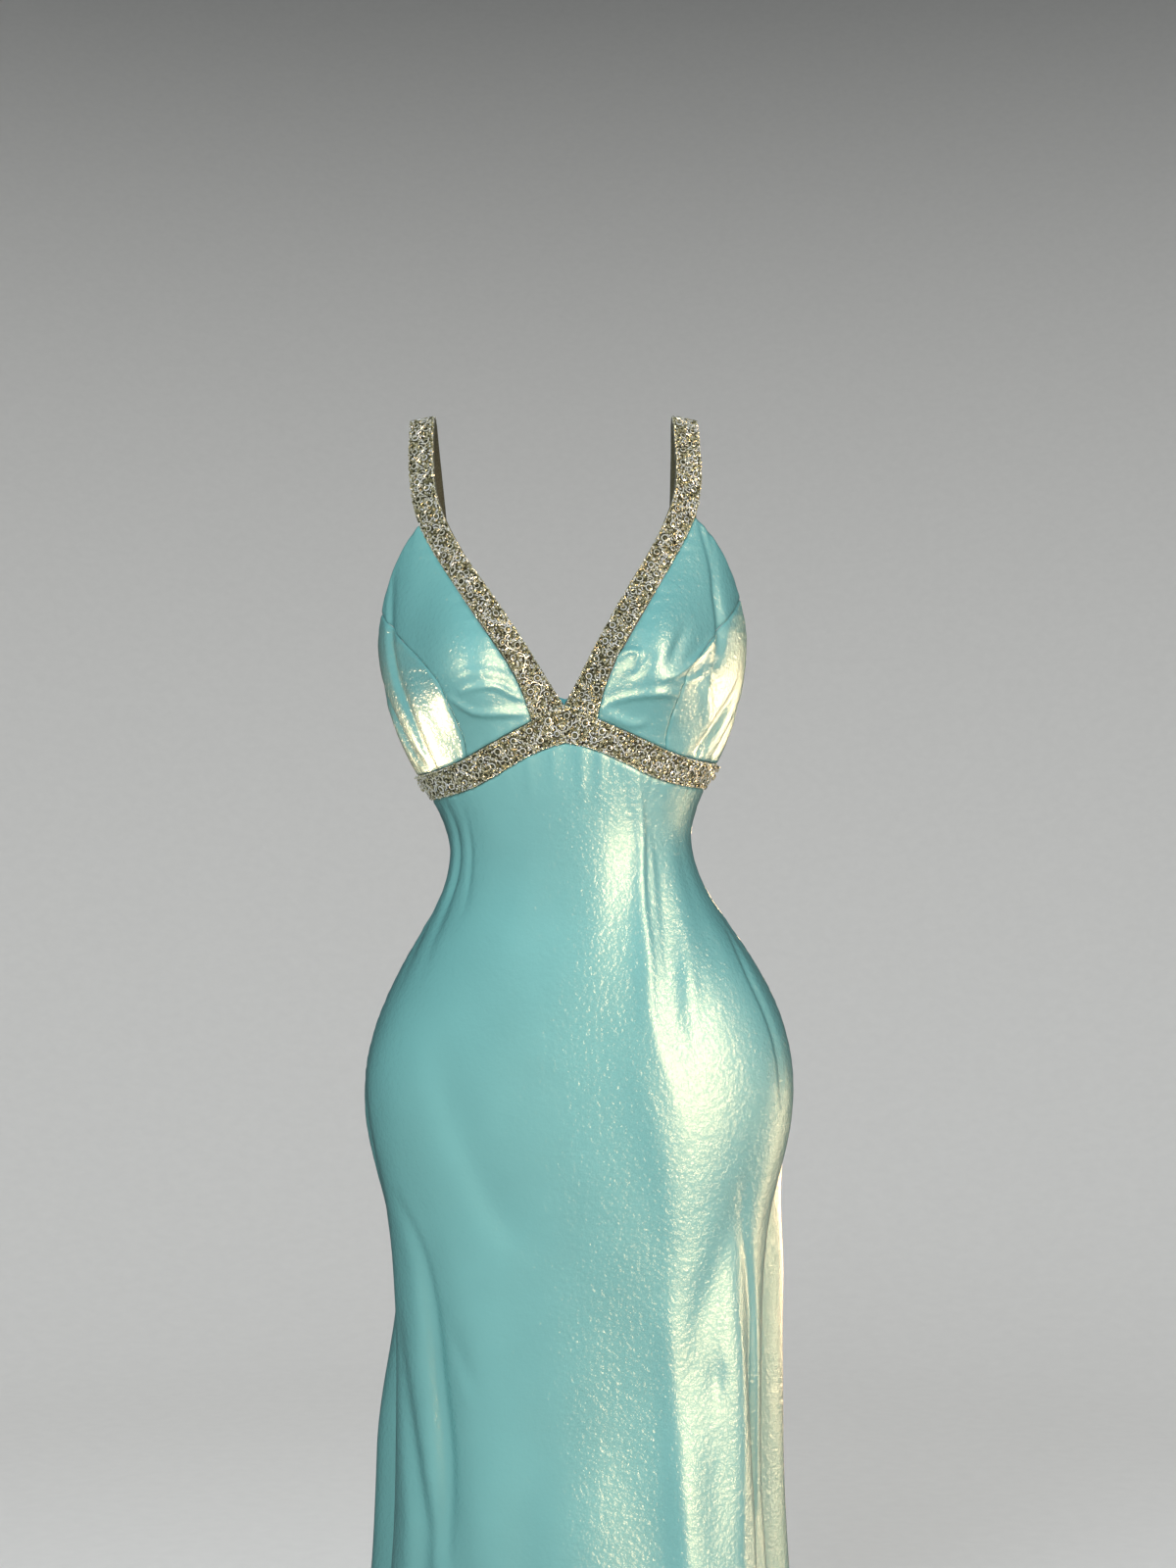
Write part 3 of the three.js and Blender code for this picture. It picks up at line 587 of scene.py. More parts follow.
def coons(top, bottom, first, second, across, down):
    """Places between four edges, which is a Coons patch: the blend across plus the blend down
    less the blend of the corners. Half a seam is left free at each edge. Gives the angle, the
    height, and the distance in millimetres to the first, second, top and bottom edge."""

    def place(u, v):
        u1, v1 = np.asarray(u)[..., None], np.asarray(v)[..., None]
        zero, one = np.array(0.0), np.array(1.0)
        rim = (1 - v1) * top(u) + v1 * bottom(u) + (1 - u1) * first(v) + u1 * second(v)
        corners = (1 - v1) * ((1 - u1) * top(zero) + u1 * top(one))
        corners = corners + v1 * ((1 - u1) * bottom(zero) + u1 * bottom(one))
        return rim - corners

    def at(u, v):
        u, v = np.broadcast_arrays(u, v)
        spot = place(u, v)
        return form(spot[..., 0], spot[..., 1])

    def length(points):
        return sum(np.linalg.norm(b - a, axis=-1) for a, b in zip(points, points[1:]))

    height = length([at(across, v) for v in (0.0, 0.5, 1.0)])[None, :]
    rim = SEAM / 2 / height
    v = rim + (1 - 2 * rim) * down[:, None]
    width = length([at(u, v) for u in (0.0, 0.5, 1.0)])
    rim = SEAM / 2 / width
    u = rim + (1 - 2 * rim) * across[None, :]
    spot = place(u, v)
    return spot[..., 0], spot[..., 1], (u * width, (1 - u) * width, v * height, (1 - v) * height)


def shares(count, rim=0, length=100.0, fine=0.6):
    """Steps from 0 to 1: even ones, with a few finer ones beside both ends where rim is above 0,
    the finest fine millimetres wide on that length."""
    if not rim:
        return np.linspace(0, 1, count + 1)
    edge = np.cumsum(fine * 1.45 ** np.arange(rim)) / length
    middle = np.linspace(edge[-1], 1 - edge[-1], count - 2 * rim + 1)
    return np.concatenate([[0], edge[:-1], middle, 1 - edge[:-1][::-1], [1]])


def add_object(name, data):
    """Puts a mesh, a lamp or a camera into the scene, at the origin."""
    made = bpy.data.objects.new(name, data)
    bpy.context.scene.collection.objects.link(made)
    return made


def surface(name, points, normals=None, closed=False, uv=None):
    """A mesh over a grid of points in millimetres, one face between each four neighbours,
    turned so that its faces look along the normals."""
    rows, columns = points.shape[:2]
    if normals is not None:
        i, j = rows // 2, columns // 2
        across, down = points[i, j + 1] - points[i, j], points[i + 1, j] - points[i, j]
        if np.dot(np.cross(down, across), normals[i, j]) < 0:
            points = points[:, ::-1]
            uv = None if uv is None else uv[:, ::-1]
    count = columns if closed else columns - 1
    i, j = np.mgrid[0 : rows - 1, 0:count]
    k = (j + 1) % columns
    near, far = i * columns, (i + 1) * columns
    faces = np.stack([near + j, far + j, far + k, near + k], -1)
    mesh = bpy.data.meshes.new(name)
    mesh.from_pydata((points.reshape(-1, 3) / 1000).tolist(), [], faces.reshape(-1, 4).tolist())
    mesh.polygons.foreach_set("use_smooth", np.ones(len(mesh.polygons), bool))
    if uv is not None:
        corners = np.empty(len(mesh.loops), np.int32)
        mesh.loops.foreach_get("vertex_index", corners)
        layer = mesh.uv_layers.new(name="cloth")
        layer.data.foreach_set("uv", uv.reshape(-1, 2)[corners].astype(np.float32).ravel())
    mesh.update()
    return add_object(name, mesh)


def add_materials(made, *materials):
    """Gives a piece its materials, in the order of their numbers on its faces."""
    for material in materials:
        made.data.materials.append(material)


def make_shell(made, thickness):
    """Thickens a surface inwards to a shell of cloth, in metres."""
    shell = made.modifiers.new("cloth", "SOLIDIFY")
    shell.thickness = thickness
    shell.offset = -1
    return shell


def satin_panel(name, edges, across, down, settings, hem=False):
    """A satin panel: the form between its four edges, moved out by the creases, a slow unevenness
    that grows down the skirt, and the roll and puckers of its seams, and made a shell of cloth.
    A hem's stitching pulls a fine groove, with puckers beside it and a fuller turning below."""
    angle, z, (first, second, top, bottom) = coons(*edges, across, down)
    x = angle * ROUND
    out = crease_depth(angle, z) * settings.crease_depth
    # The unevenness runs down the cloth, 0.3 mm high above the thigh and 1.2 mm near the hem
    out += body_wave(x, 0.35 * z) * (0.3 + 0.9 * smooth(-z, 700, 1300))
    groove = settings.seam_groove * 1000
    out += pucker(first, z, groove) + pucker(second, z + 5, groove) + pucker(top, x, groove)
    if hem:
        stitch = bottom - HEM_STITCH
        out += -0.7 * bell(stitch / 1.6) + 0.5 * smooth(stitch, 3, -3)
        out += seam_wave(x, 0 * x) * 0.5 * bell(stitch / 9)
    else:
        out += pucker(bottom, x, groove)
    normal = form_normal(angle, z)
    points = pose(form(angle, z) + normal * out[..., None])
    made = surface(name, points, normal, uv=np.stack([x, z], -1) / 1000)
    make_shell(made, settings.thickness).material_offset = 1
    add_materials(
        made, satin(settings.colour, settings.highlight), satin_back(settings.back_colour)
    )
    return made


# Materials

WAVE_STEP = 2 / 6.283  # about the metres from one rib to the next in a wave texture of scale 1


def linear(colour):
    """A colour in sRGB, as hex or three shares, as the linear one that shaders take."""
    if isinstance(colour, str):
        colour = [int(colour[i : i + 2], 16) / 255 for i in (1, 3, 5)]
    share = np.array(colour[:3])
    light = np.where(share <= 0.04045, share / 12.92, ((share + 0.055) / 1.055) ** 2.4)
    return (*light.tolist(), 1.0)


def add(tree, kind, inputs=None, **settings):
    """Adds a node. Settings are its own properties, and inputs are its sockets' values or the
    sockets that feed them."""
    made = tree.nodes.new(kind)
    for name, value in settings.items():
        setattr(made, name, value)
    for name, value in (inputs or {}).items():
        if isinstance(value, bpy.types.NodeSocket):
            tree.links.new(value, made.inputs[name])
        else:
            made.inputs[name].default_value = value
    return made


def material(name, recipe):
    """The material of that name, made at its first use: one Principled shader, whose inputs the
    recipe gives from the node tree."""
    if name in bpy.data.materials:
        return bpy.data.materials[name]
    made = bpy.data.materials.new(name)
    made.use_nodes = True
    tree = made.node_tree
    tree.nodes.clear()
    shader = add(tree, "ShaderNodeBsdfPrincipled", recipe(tree))
    add(tree, "ShaderNodeOutputMaterial", {"Surface": shader.outputs["BSDF"]})
    return made


def uneven(tree, value, base, share):
    """The linear base colour, darker and lighter by that share over the middle of a noise."""
    middle = {"Value": value, "From Min": 0.3, "From Max": 0.7}
    spread = add(tree, "ShaderNodeMapRange", middle).outputs["Result"]
    made = add(tree, "ShaderNodeMix", {"Factor": spread}, data_type="RGBA")
    made.inputs[6].default_value = tuple(c * (1 - share) for c in base[:3]) + (1.0,)
    made.inputs[7].default_value = tuple(min(1, c * (1 + share)) for c in base[:3]) + (1.0,)
    return made.outputs[2]


def satin(colour, highlight):
    """Heavy polyester satin, woven and calendered: its long floats lie side by side, so it shines
    like metal across them, in broad soft bands with a creamy, faintly grained light."""

    def recipe(tree):
        place = add(tree, "ShaderNodeTexCoord").outputs["Object"]
        # Grain of the weave as the light picks it out: 4 mm pebbles, with 9 mm patches over it,
        # clouds of colour 110 mm across, and a slackness of 35 mm, too shallow for the mesh
        pebble, patch, cloud, slack = (
            add(
                tree,
                "ShaderNodeTexNoise",
                {"Vector": place, "Scale": 1 / size, "Detail": 2.0, "Roughness": roughness},
            ).outputs["Fac"]
            for size, roughness in ((0.004, 0.55), (0.009, 0.5), (0.11, 0.5), (0.035, 0.45))
        )
        # Floats, 0.1 mm wide in the real cloth, drawn 0.8 mm wide and 9 mm long so that they show
        wide, long = 0.0008, 0.009
        along = {"Vector": place, "Scale": (1 / wide, 1 / wide, 1 / long)}
        along = add(tree, "ShaderNodeMapping", along).outputs["Vector"]
        floats = add(tree, "ShaderNodeTexNoise", {"Vector": along, "Scale": 1.0, "Detail": 1.0})
        soft = add(tree, "ShaderNodeBump", {"Height": slack, "Distance": 0.0006}).outputs["Normal"]
        grain = soft
        for height, distance in (
            (patch, 0.0008),
            (pebble, 0.0016),
            (floats.outputs["Fac"], 0.00008),
        ):
            relief = {"Height": height, "Distance": distance, "Normal": grain}
            grain = add(tree, "ShaderNodeBump", relief).outputs["Normal"]
        # Painted shade: the base colour turns to a darker, bluer teal where the cloth turns away
        # from the view, so that its edges show darker
        base = linear(colour)
        painted_edge_shade = add(tree, "ShaderNodeLayerWeight", {"Blend": 0.32}).outputs["Facing"]
        deep = add(tree, "ShaderNodeMix", {"Factor": painted_edge_shade}, data_type="RGBA")
        tree.links.new(uneven(tree, cloud, base, 0.05), deep.inputs[6])
        deep.inputs[7].default_value = (base[0] * 0.35, base[1] * 0.58, base[2] * 0.64, 1.0)
        warp = add(tree, "ShaderNodeTangent", direction_type="UV_MAP", uv_map="cloth")
        return {
            # The base colour carries the painted edge shade
            "Base Color": deep.outputs[2],
            "Metallic": 0.1,
            "Roughness": 0.42,
            "Specular IOR Level": 0.8,
            "Specular Tint": linear(highlight),
            "Anisotropic": 0.35,
            "Tangent": warp.outputs["Tangent"],
            "Coat Weight": 1.0,
            "Coat IOR": 1.6,
            "Coat Roughness": 0.25,
            "Normal": soft,
            "Coat Normal": grain,
        }

    return material("satin_heavy_aqua", recipe)


def satin_back(colour):
    """The satin's wrong side, where the short floats of the weave lie: matt and a little paler,
    with 1.2 mm grain and 80 mm clouds."""

    def recipe(tree):
        place = add(tree, "ShaderNodeTexCoord").outputs["Object"]
        grain, cloud = (
            add(tree, "ShaderNodeTexNoise", {"Vector": place, "Scale": 1 / size, "Detail": 2.0})
            for size in (0.0012, 0.08)
        )
        relief = {"Height": grain.outputs["Fac"], "Distance": 0.00012}
        bump = add(tree, "ShaderNodeBump", relief)
        return {
            "Base Color": uneven(tree, cloud.outputs["Fac"], linear(colour), 0.06),
            "Roughness": 0.62,
            "Sheen Weight": 0.25,
            "Sheen Roughness": 0.4,
            "Normal": bump.outputs["Normal"],
        }

    return material("satin_wrong_side", recipe)


def bead_glass():
    """Silver-lined glass beads and metal-set stones: bright, a little warm, each at its own angle.
    Their own tone attribute says which are silver, champagne, olive or dark."""

    def recipe(tree):
        tone = add(tree, "ShaderNodeAttribute", attribute_name="tone").outputs["Fac"]
        made = add(tree, "ShaderNodeValToRGB", {"Fac": tone})
        stops = (
            (0.0, "#1B1B12"),
            (0.16, "#474631"),
            (0.42, "#A09A70"),
            (0.66, "#D2CCA6"),
            (0.86, "#F0ECD6"),
            (1.0, "#FFFFFA"),
        )
        elements = made.color_ramp.elements
        while len(elements) < len(stops):
            elements.new(0.5)
        for element, (share, colour) in zip(elements, stops):
            element.position = share
            element.color = linear(colour)
        return {
            "Base Color": made.outputs["Color"],
            "Metallic": 0.35,
            "Roughness": 0.22,
            "Specular IOR Level": 0.9,
            "Coat Weight": 0.8,
            "Coat Roughness": 0.08,
        }

    return material("beads_silver_lined_glass", recipe)


def grained(name, colour, texture, pattern, relief, share, finish):
    """A material whose one texture, at the piece's own coordinates, raises its surface by the
    relief in metres and makes its colour darker and lighter by that share."""

    def recipe(tree):
        place = add(tree, "ShaderNodeTexCoord").outputs["Object"]
        grain = add(tree, texture, {"Vector": place, **pattern}).outputs["Fac"]
        bump = add(tree, "ShaderNodeBump", {"Height": grain, "Distance": relief})
        return {
            "Base Color": uneven(tree, grain, linear(colour), share),
            "Normal": bump.outputs["Normal"],
            **finish,
        }

    return material(name, recipe)


def trim_cloth(colour):
    """The strip of tulle-backed cloth that carries the beads: matt, coarse, champagne to olive."""
    noise = {"Scale": 1 / 0.0016, "Detail": 3.0}
    finish = {"Roughness": 0.75, "Sheen Weight": 0.2}
    name = "trim_ground_cloth"
    return grained(name, colour, "ShaderNodeTexNoise", noise, 0.0004, 0.4, finish)


def zip_tape_cloth(colour):
    """Woven polyester zip tape: matt, with a fine rib along it, 0.9 mm apart so that it shows."""
    rib = {"Scale": WAVE_STEP / 0.0009, "Distortion": 0.6}
    finish = {"Roughness": 0.8}
    return grained("zip_tape_woven", colour, "ShaderNodeTexWave", rib, 0.00015, 0.1, finish)


def zip_enamel(colour):
    """Die-cast zinc, enamelled to match the cloth: smooth and glossy, with faint orange peel."""
    peel = {"Scale": 1 / 0.0008, "Detail": 1.0}
    finish = {"Metallic": 0.5, "Roughness": 0.26, "Coat Weight": 0.5, "Coat Roughness": 0.1}
    name = "zip_enamelled_zinc"
    return grained(name, colour, "ShaderNodeTexNoise", peel, 0.00002, 0.05, finish)


def studio_paper(colour):
    """Matt backdrop paper, with a faint mottle 25 mm across."""

    def recipe(tree):
        place = add(tree, "ShaderNodeTexCoord").outputs["Object"]
        mottle = {"Vector": place, "Scale": 1 / 0.025, "Detail": 3.0}
        mottle = add(tree, "ShaderNodeTexNoise", mottle).outputs["Fac"]
        return {"Base Color": uneven(tree, mottle, linear(colour), 0.015), "Roughness": 0.9}

    return material("studio_paper_matt", recipe)


# Beads


def ring_of(sides, radius, height):
    """A ring's corners: the radius times the cosine and sine of even turns, at one height."""
    angle = np.arange(sides) / sides * 2 * np.pi
    return np.stack([radius * np.cos(angle), radius * np.sin(angle), height + 0 * angle], -1)


def turned(sides, top, *profile):
    """A closed turned shape: rings by radius and height from the bottom up, a flat base and a top
    point."""
    corners = np.vstack([*(ring_of(sides, *ring) for ring in profile), [[0, 0, top]]])
    faces = []
    j = np.arange(sides)
    k = (j + 1) % sides
    for i in range(len(profile) - 1):
        low, high = i * sides, (i + 1) * sides
        faces += np.stack([low + j, low + k, high + k], -1).tolist()
        faces += np.stack([low + j, high + k, high + j], -1).tolist()
    last = (len(profile) - 1) * sides
    faces += np.stack([last + j, last + k, 0 * j + len(corners) - 1], -1).tolist()
    faces += np.stack([0 * j[1:-1], j[1:-1] + 1, j[1:-1]], -1).tolist()
    return corners, np.array(faces)


SEED_BEAD = turned(6, 1.45, (0.9, 0), (1, 0.7))
SET_STONE = turned(8, 0.6, (0.95, 0), (1.0, 0.45), (0.74, 0.62), (0.62, 0.38), (0.34, 0.56))
SET_STONE_TONE = np.repeat([0.55, 0.95, 0.85, 0.1, 0.22, 0.3], [8, 8, 8, 8, 8, 1])


def bugle_bead():
    """A tube bead along X: two rings of six, half a length either way, and flat ends."""
    ring = ring_of(6, 1, 0)[:, [2, 0, 1]]
    corners = np.vstack([ring - [1, 0, 0], ring + [1, 0, 0]])
    j = np.arange(6)
    k = (j + 1) % 6
    faces = np.vstack(
        [
            np.stack([j, k, k + 6], -1),
            np.stack([j, k + 6, j + 6], -1),
            np.stack([0 * j[1:-1], j[1:-1] + 1, j[1:-1]], -1),
            np.stack([0 * j[1:-1] + 6, j[1:-1] + 6, j[1:-1] + 7], -1),
        ]
    )
    return corners, faces


BUGLE = bugle_bead()


class Ribbon:
    """A strip of the trim: a grid of points and normals in millimetres, and the lengths along
    its middle, so that a bead can be placed by how far along and how far across it is."""

    def __init__(self, points, normals):
        self.points, self.normals = points, normals
        middle = points[:, points.shape[1] // 2]
        step = np.linalg.norm(np.diff(middle, axis=0), axis=-1)
        self.along = np.concatenate([[0], np.cumsum(step)])
        self.length = self.along[-1]
        self.width = np.linalg.norm(np.diff(points, axis=1), axis=-1).sum(1)

    def at(self, s, w):
        """Point and axes at s along and w across, in millimetres, by bilinear blending."""
        row = np.interp(s, self.along, np.arange(len(self.along)))
        wide = np.interp(s, self.along, self.width)
        column = np.clip(w / wide, -0.06, 1.06) * (self.points.shape[1] - 1)
        i = np.clip(row.astype(int), 0, len(self.along) - 2)
        j = np.clip(np.floor(column).astype(int), 0, self.points.shape[1] - 2)
        a, b = (row - i)[:, None], (column - j)[:, None]

        def blend(grid):
            low = grid[i, j] * (1 - b) + grid[i, j + 1] * b
            high = grid[i + 1, j] * (1 - b) + grid[i + 1, j + 1] * b
            return low * (1 - a) + high * a

        normal = unit(blend(self.normals))
        tangent = self.points[i + 1, j] - self.points[i, j]
        tangent = unit(tangent - (tangent * normal).sum(-1, keepdims=True) * normal)
        return blend(self.points), tangent, np.cross(normal, tangent), normal


def set_beads(shape, spot, sizes, turn, tone, lift, random, tilt=0.18):
    """Copies of a bead's shape at spots, each turned about the cloth's normal and tilted a
    little at random. Gives corners, faces and the corners' tones."""
    corners, faces = shape
    point, tangent, across, normal = spot
    count = len(point)
    lean = random.normal(0, tilt, (count, 2))
    up = unit(normal + lean[:, :1] * tangent + lean[:, 1:] * across)
    ahead = tangent * np.cos(turn)[:, None] + across * np.sin(turn)[:, None]
    ahead = unit(ahead - (ahead * up).sum(-1, keepdims=True) * up)
    axes = np.stack([ahead, np.cross(up, ahead), up], 1)
    scaled = corners[None] * sizes[:, None, :]
    placed = point[:, None] + np.einsum("nkc,ncd->nkd", scaled, axes) + lift * normal[:, None]
    index = faces[None] + (np.arange(count) * len(corners))[:, None, None]
    tones = np.broadcast_to(tone if np.ndim(tone) == 2 else tone[:, None], (count, len(corners)))
    return placed.reshape(-1, 3), index.reshape(-1, 3), tones.reshape(-1)


def clear_of(s, w, others, gap):
    """Which spots (s, w) are further than the gap from every one of the others."""
    d = np.hypot(s[:, None] - others[None, :, 0], w[:, None] - others[None, :, 1])
    return (d > gap).all(1)


def bead_mesh(name, corners, faces):
    """A piece of many beads, from their corners in millimetres and their faces."""
    mesh = bpy.data.meshes.new(name)
    mesh.from_pydata((corners / 1000).tolist(), [], faces.tolist())
    return add_object(name, mesh)


def beading(name, ribbon, settings, seed, heaped=0):
    """The embroidery on a strip: set stones towards one edge and the other in turn, scrolls of
    tube beads that sway between them as a sine along the strip, a row of small beads along both
    edges, and seed beads over all the rest."""
    random = np.random.default_rng(seed)
    length = ribbon.length
    bead = settings.bead * 1000
    stone = settings.stone * 1000

    def wide(s):
        return np.interp(s, ribbon.along, ribbon.width)

    # Set stones, each a little off its place and turned at random
    s = np.arange(6, length - 5, STONE_STEP)
    s = s + random.uniform(-1.2, 1.2, len(s))
    side = np.where(np.arange(len(s)) % 2, 0.29, 0.71) + random.uniform(-0.05, 0.05, len(s))
    stones = np.stack([s, side * wide(s)], -1)
    size = stone / 2 * random.uniform(0.8, 1.12, len(s))
    parts = []
    short = size * random.uniform(0.86, 1, len(s))
    sizes = np.stack([size, short, np.full(len(s), STONE_HEIGHT)], -1)
    tones = np.clip(SET_STONE_TONE[None] + random.uniform(-0.12, 0.12, (len(s), 1)), 0, 1)
    turn = random.uniform(0, np.pi, len(s))
    parts.append(set_beads(SET_STONE, ribbon.at(*stones.T), sizes, turn, tones, 0.5, random, 0.12))

    # Scrolls: tube beads end to end on a wave, and short leaves that fan off its outer side
    s = np.arange(3, length - 3, SCROLL_STEP)
    phase = 2 * np.pi * s / SCROLL_WAVE
    w = wide(s) * (0.5 + 0.2 * np.sin(phase))
    slope = wide(s) * 0.2 * np.cos(phase) * 2 * np.pi / SCROLL_WAVE
    turn, leaf_side = np.arctan2(slope, 1), np.sign(np.cos(phase + 0.4))
    leaf = np.stack([s + LEAF_AHEAD, w + LEAF_OUT * leaf_side], -1)
    scroll = np.concatenate([np.stack([s, w], -1), leaf])
    turn = np.concatenate([turn, turn + 0.8 * leaf_side])
    free = clear_of(*scroll.T, stones, stone * 0.42)
    scroll, turn = scroll[free], turn[free]
    count = len(scroll)
    sizes = np.tile([TUBE_HALF, TUBE_RADIUS, TUBE_RADIUS], (count, 1))
    tone = random.uniform(0.78, 1, count)
    parts.append(set_beads(BUGLE, ribbon.at(*scroll.T), sizes, turn, tone, 1.2, random, 0.1))

    # A row of small beads along both edges, each a little in or out of line
    s = np.tile(np.arange(0.8, length - 0.5, bead * 0.9), 2)
    count = len(s)
    first = np.arange(count) < count // 2
    reach = random.normal(EDGE, 0.28, count)
    w = np.where(first, reach, wide(s) - reach)
    small = bead / 2 * random.uniform(0.72, 0.92, count)
    sizes = np.stack([small, small, small * 0.9], -1)
    tone = random.uniform(0.45, 0.98, count)
    turn = random.uniform(0, np.pi, count)
    parts.append(set_beads(SEED_BEAD, ribbon.at(s, w), sizes, turn, tone, 0.3, random))

    # Seed beads over the rest, in loose rows, with one in twenty missing
    pitch = bead * 0.94
    rows = np.arange(bead * 0.95, ribbon.width.max() - bead * 0.6, pitch * 0.87)
    grid_s, grid_w = np.meshgrid(np.arange(0.8, length - 0.6, pitch), rows)
    grid_s = grid_s + np.where(np.arange(len(rows)) % 2, pitch / 2, 0)[:, None]
    s = (grid_s + random.uniform(-0.32, 0.32, grid_s.shape)).ravel()
    w = (grid_w + random.uniform(-0.32, 0.32, grid_w.shape)).ravel()
    free = (w < wide(s) - bead * 0.6) & (s < length - 0.4)
    s, w = s[free], w[free]
    free = clear_of(s, w, stones, stone * 0.5 + bead * 0.3)
    free &= clear_of(s, w, scroll, bead * 0.72)
    free &= random.uniform(0, 1, len(s)) > 0.05
    s, w = s[free], w[free]
    count = len(s)
    small = bead / 2 * random.uniform(0.8, 1.14, count)
    sizes = np.stack([small, small, small * random.uniform(0.8, 1.15, count)], -1)
    tone = np.clip(random.normal(0.5, 0.27, count), 0.02, 1)
    tone = np.where(random.uniform(0, 1, count) < 0.1, 0.98, tone)
    turn = random.uniform(0, np.pi, count)
    parts.append(set_beads(SEED_BEAD, ribbon.at(s, w), sizes, turn, tone, 0.25, random, 0.3))

    # Loose beads heaped where the strip is cut off at its ends
    if heaped:
        s = random.uniform(0.2, 3.4, heaped)
        s = np.where(np.arange(heaped) % 2, s, length - s)
        w = random.uniform(-0.5, 1.02, heaped) ** 3 * 0.5 * wide(s) + 0.5 * wide(s)
        small = bead / 2 * random.uniform(0.8, 1.1, heaped)
        sizes = np.tile(small[:, None], 3)
        tone = random.uniform(0.3, 1, heaped)
        lift = random.uniform(0.8, 3.6, heaped)[:, None, None]
        turn = random.uniform(0, np.pi, heaped)
        parts.append(set_beads(SEED_BEAD, ribbon.at(s, w), sizes, turn, tone, lift, random, 0.8))

    corners, faces, tones = zip(*parts)
    starts = np.cumsum([0] + [len(part) for part in corners])
    faces = np.vstack([part + start for part, start in zip(faces, starts)])
    made = bead_mesh(name, np.vstack(corners), faces)
    attribute = made.data.attributes.new("tone", "FLOAT", "POINT")
    attribute.data.foreach_set("value", np.concatenate(tones).astype(np.float32))
    add_materials(made, bead_glass())
    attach(made, "gown")
    return made


def trim_strip(name, grid, normals, settings, node):
    """The cloth under a strip's beads, on the CAD trim's inner side."""
    made = surface(name, grid + normals * TRIM_LIFT, normals)
    make_shell(made, TRIM_CLOTH / 1000)
    add_materials(made, trim_cloth(settings.ground_colour))
    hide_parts(node)
    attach(made, "gown")
    return made


def strap_grid(side, rows=260, columns=13):
    """A strap's grid. Each of its columns is one smooth curve through the places on the form
    along the neckline, the free points over the shoulder, and the places down the back."""
    inner_back, _ = curve_through(back_places(0))
    outer_back, _ = curve_through(back_places(2))

    def chord(first, second):
        a, b = first(np.array(0.0)), second(np.array(0.0))
        return lambda share: a + (b - a) * np.asarray(share)[..., None]

    foot = round_body(0, BAND_FOOT, band_upper)
    across = np.linspace(0, 1, columns)

    def stretch(inner, outer, end, steps):
        angle, z, _ = coons(chord(inner, outer), end, inner, outer, across, shares(steps))
        return form(angle, z)

    neck = stretch(neck_inner, neck_outer, foot, 14)[::-1]
    end = round_body(inner_back(np.array(1.0))[0], outer_back(np.array(1.0))[0], back_top)
    behind = stretch(inner_back, outer_back, end, 5)
    rim = SEAM / 2 / STRAP_WIDTH
    share = (rim + (1 - 2 * rim) * across)[None, :, None]
    free = SHOULDER[:, None, :3] + (SHOULDER[:, None, 3:] - SHOULDER[:, None, :3]) * share
    knots = np.concatenate([neck, free, behind])
    step = np.linalg.norm(np.diff(knots, axis=0), axis=-1).mean(1)
    places = np.concatenate([[0], np.cumsum(step)])
    fine = np.linspace(0, places[-1], rows + 1)
    knots = knots.reshape(len(places), -1)
    grid = np.stack([spline(places, knot)(fine) for knot in knots.T], -1)
    grid = grid.reshape(rows + 1, columns, 3)
    if side < 0:
        grid = grid * [-1, 1, 1]
    along = np.gradient(grid, axis=0)
    sideways = np.gradient(grid, axis=1)
    normals = unit(np.cross(sideways, along)) * side
    return pose(grid), normals


def back_places(column):
    """A strap edge's places down the back, the last one on the back panel's top edge."""
    places = places_of(STRAP_BACK[:, column], STRAP_BACK[:, column + 1], behind=True)
    places[-1, 1] = back_top(places[-1, 0])
    return places


# Sizes and colours that a user would change


def colour_setting(name, description, default):
    """A colour to choose, in sRGB."""
    return bpy.props.FloatVectorProperty(
        name=name,
        description=description + ", in sRGB",
        subtype="COLOR_GAMMA",
        size=3,
        default=default,
        min=0,
        max=1,
    )


def length_setting(name, description, default, least, most):
    """A small length to choose, in metres."""
    return bpy.props.FloatProperty(
        name=name,
        description=description,
        default=default,
        min=least,
        max=most,
        unit="LENGTH",
        precision=4,
    )


def power_setting(name, description, default):
    """A lamp's power to choose, in watts."""
    return bpy.props.FloatProperty(
        name=name, description=description, default=default, min=0, max=500, unit="POWER"
    )


class GownSatinSettings(bpy.types.PropertyGroup):
    """The satin panels"""

    colour: colour_setting("Satin Colour", "Colour of the satin", (0.495, 0.75, 0.725))
    highlight: colour_setting("Highlight Tint", "Tint of the satin's shine", (1.0, 0.975, 0.9))
    back_colour: colour_setting(
        "Wrong Side Colour", "Colour of the satin's wrong side", (0.47, 0.75, 0.755)
    )
    thickness: length_setting(
        "Cloth Thickness", "Thickness of the satin", 0.0012, 0.0004, 0.0016
    )
    seam_groove: length_setting(
        "Seam Groove", "How far the cloth rolls in at a seam", 0.0009, 0, 0.002
    )
    crease_depth: bpy.props.FloatProperty(
        name="Crease Depth",
        description="Share of the depth that the creases are drawn with",
        default=1.0,
        min=0,
        max=1.5,
        subtype="FACTOR",
    )


class GownTrimSettings(bpy.types.PropertyGroup):
    """The beaded trim and the zip"""

    bead: length_setting("Bead Size", "Width of a seed bead", 0.0019, 0.001, 0.004)
    stone: length_setting("Stone Size", "Width of a set stone", 0.0066, 0.003, 0.008)
    ground_colour: colour_setting(
        "Ground Colour", "Colour of the cloth under the beads", (0.29, 0.28, 0.19)
    )
    zip_colour: colour_setting("Zip Colour", "Colour of the zip's enamel", (0.44, 0.72, 0.725))


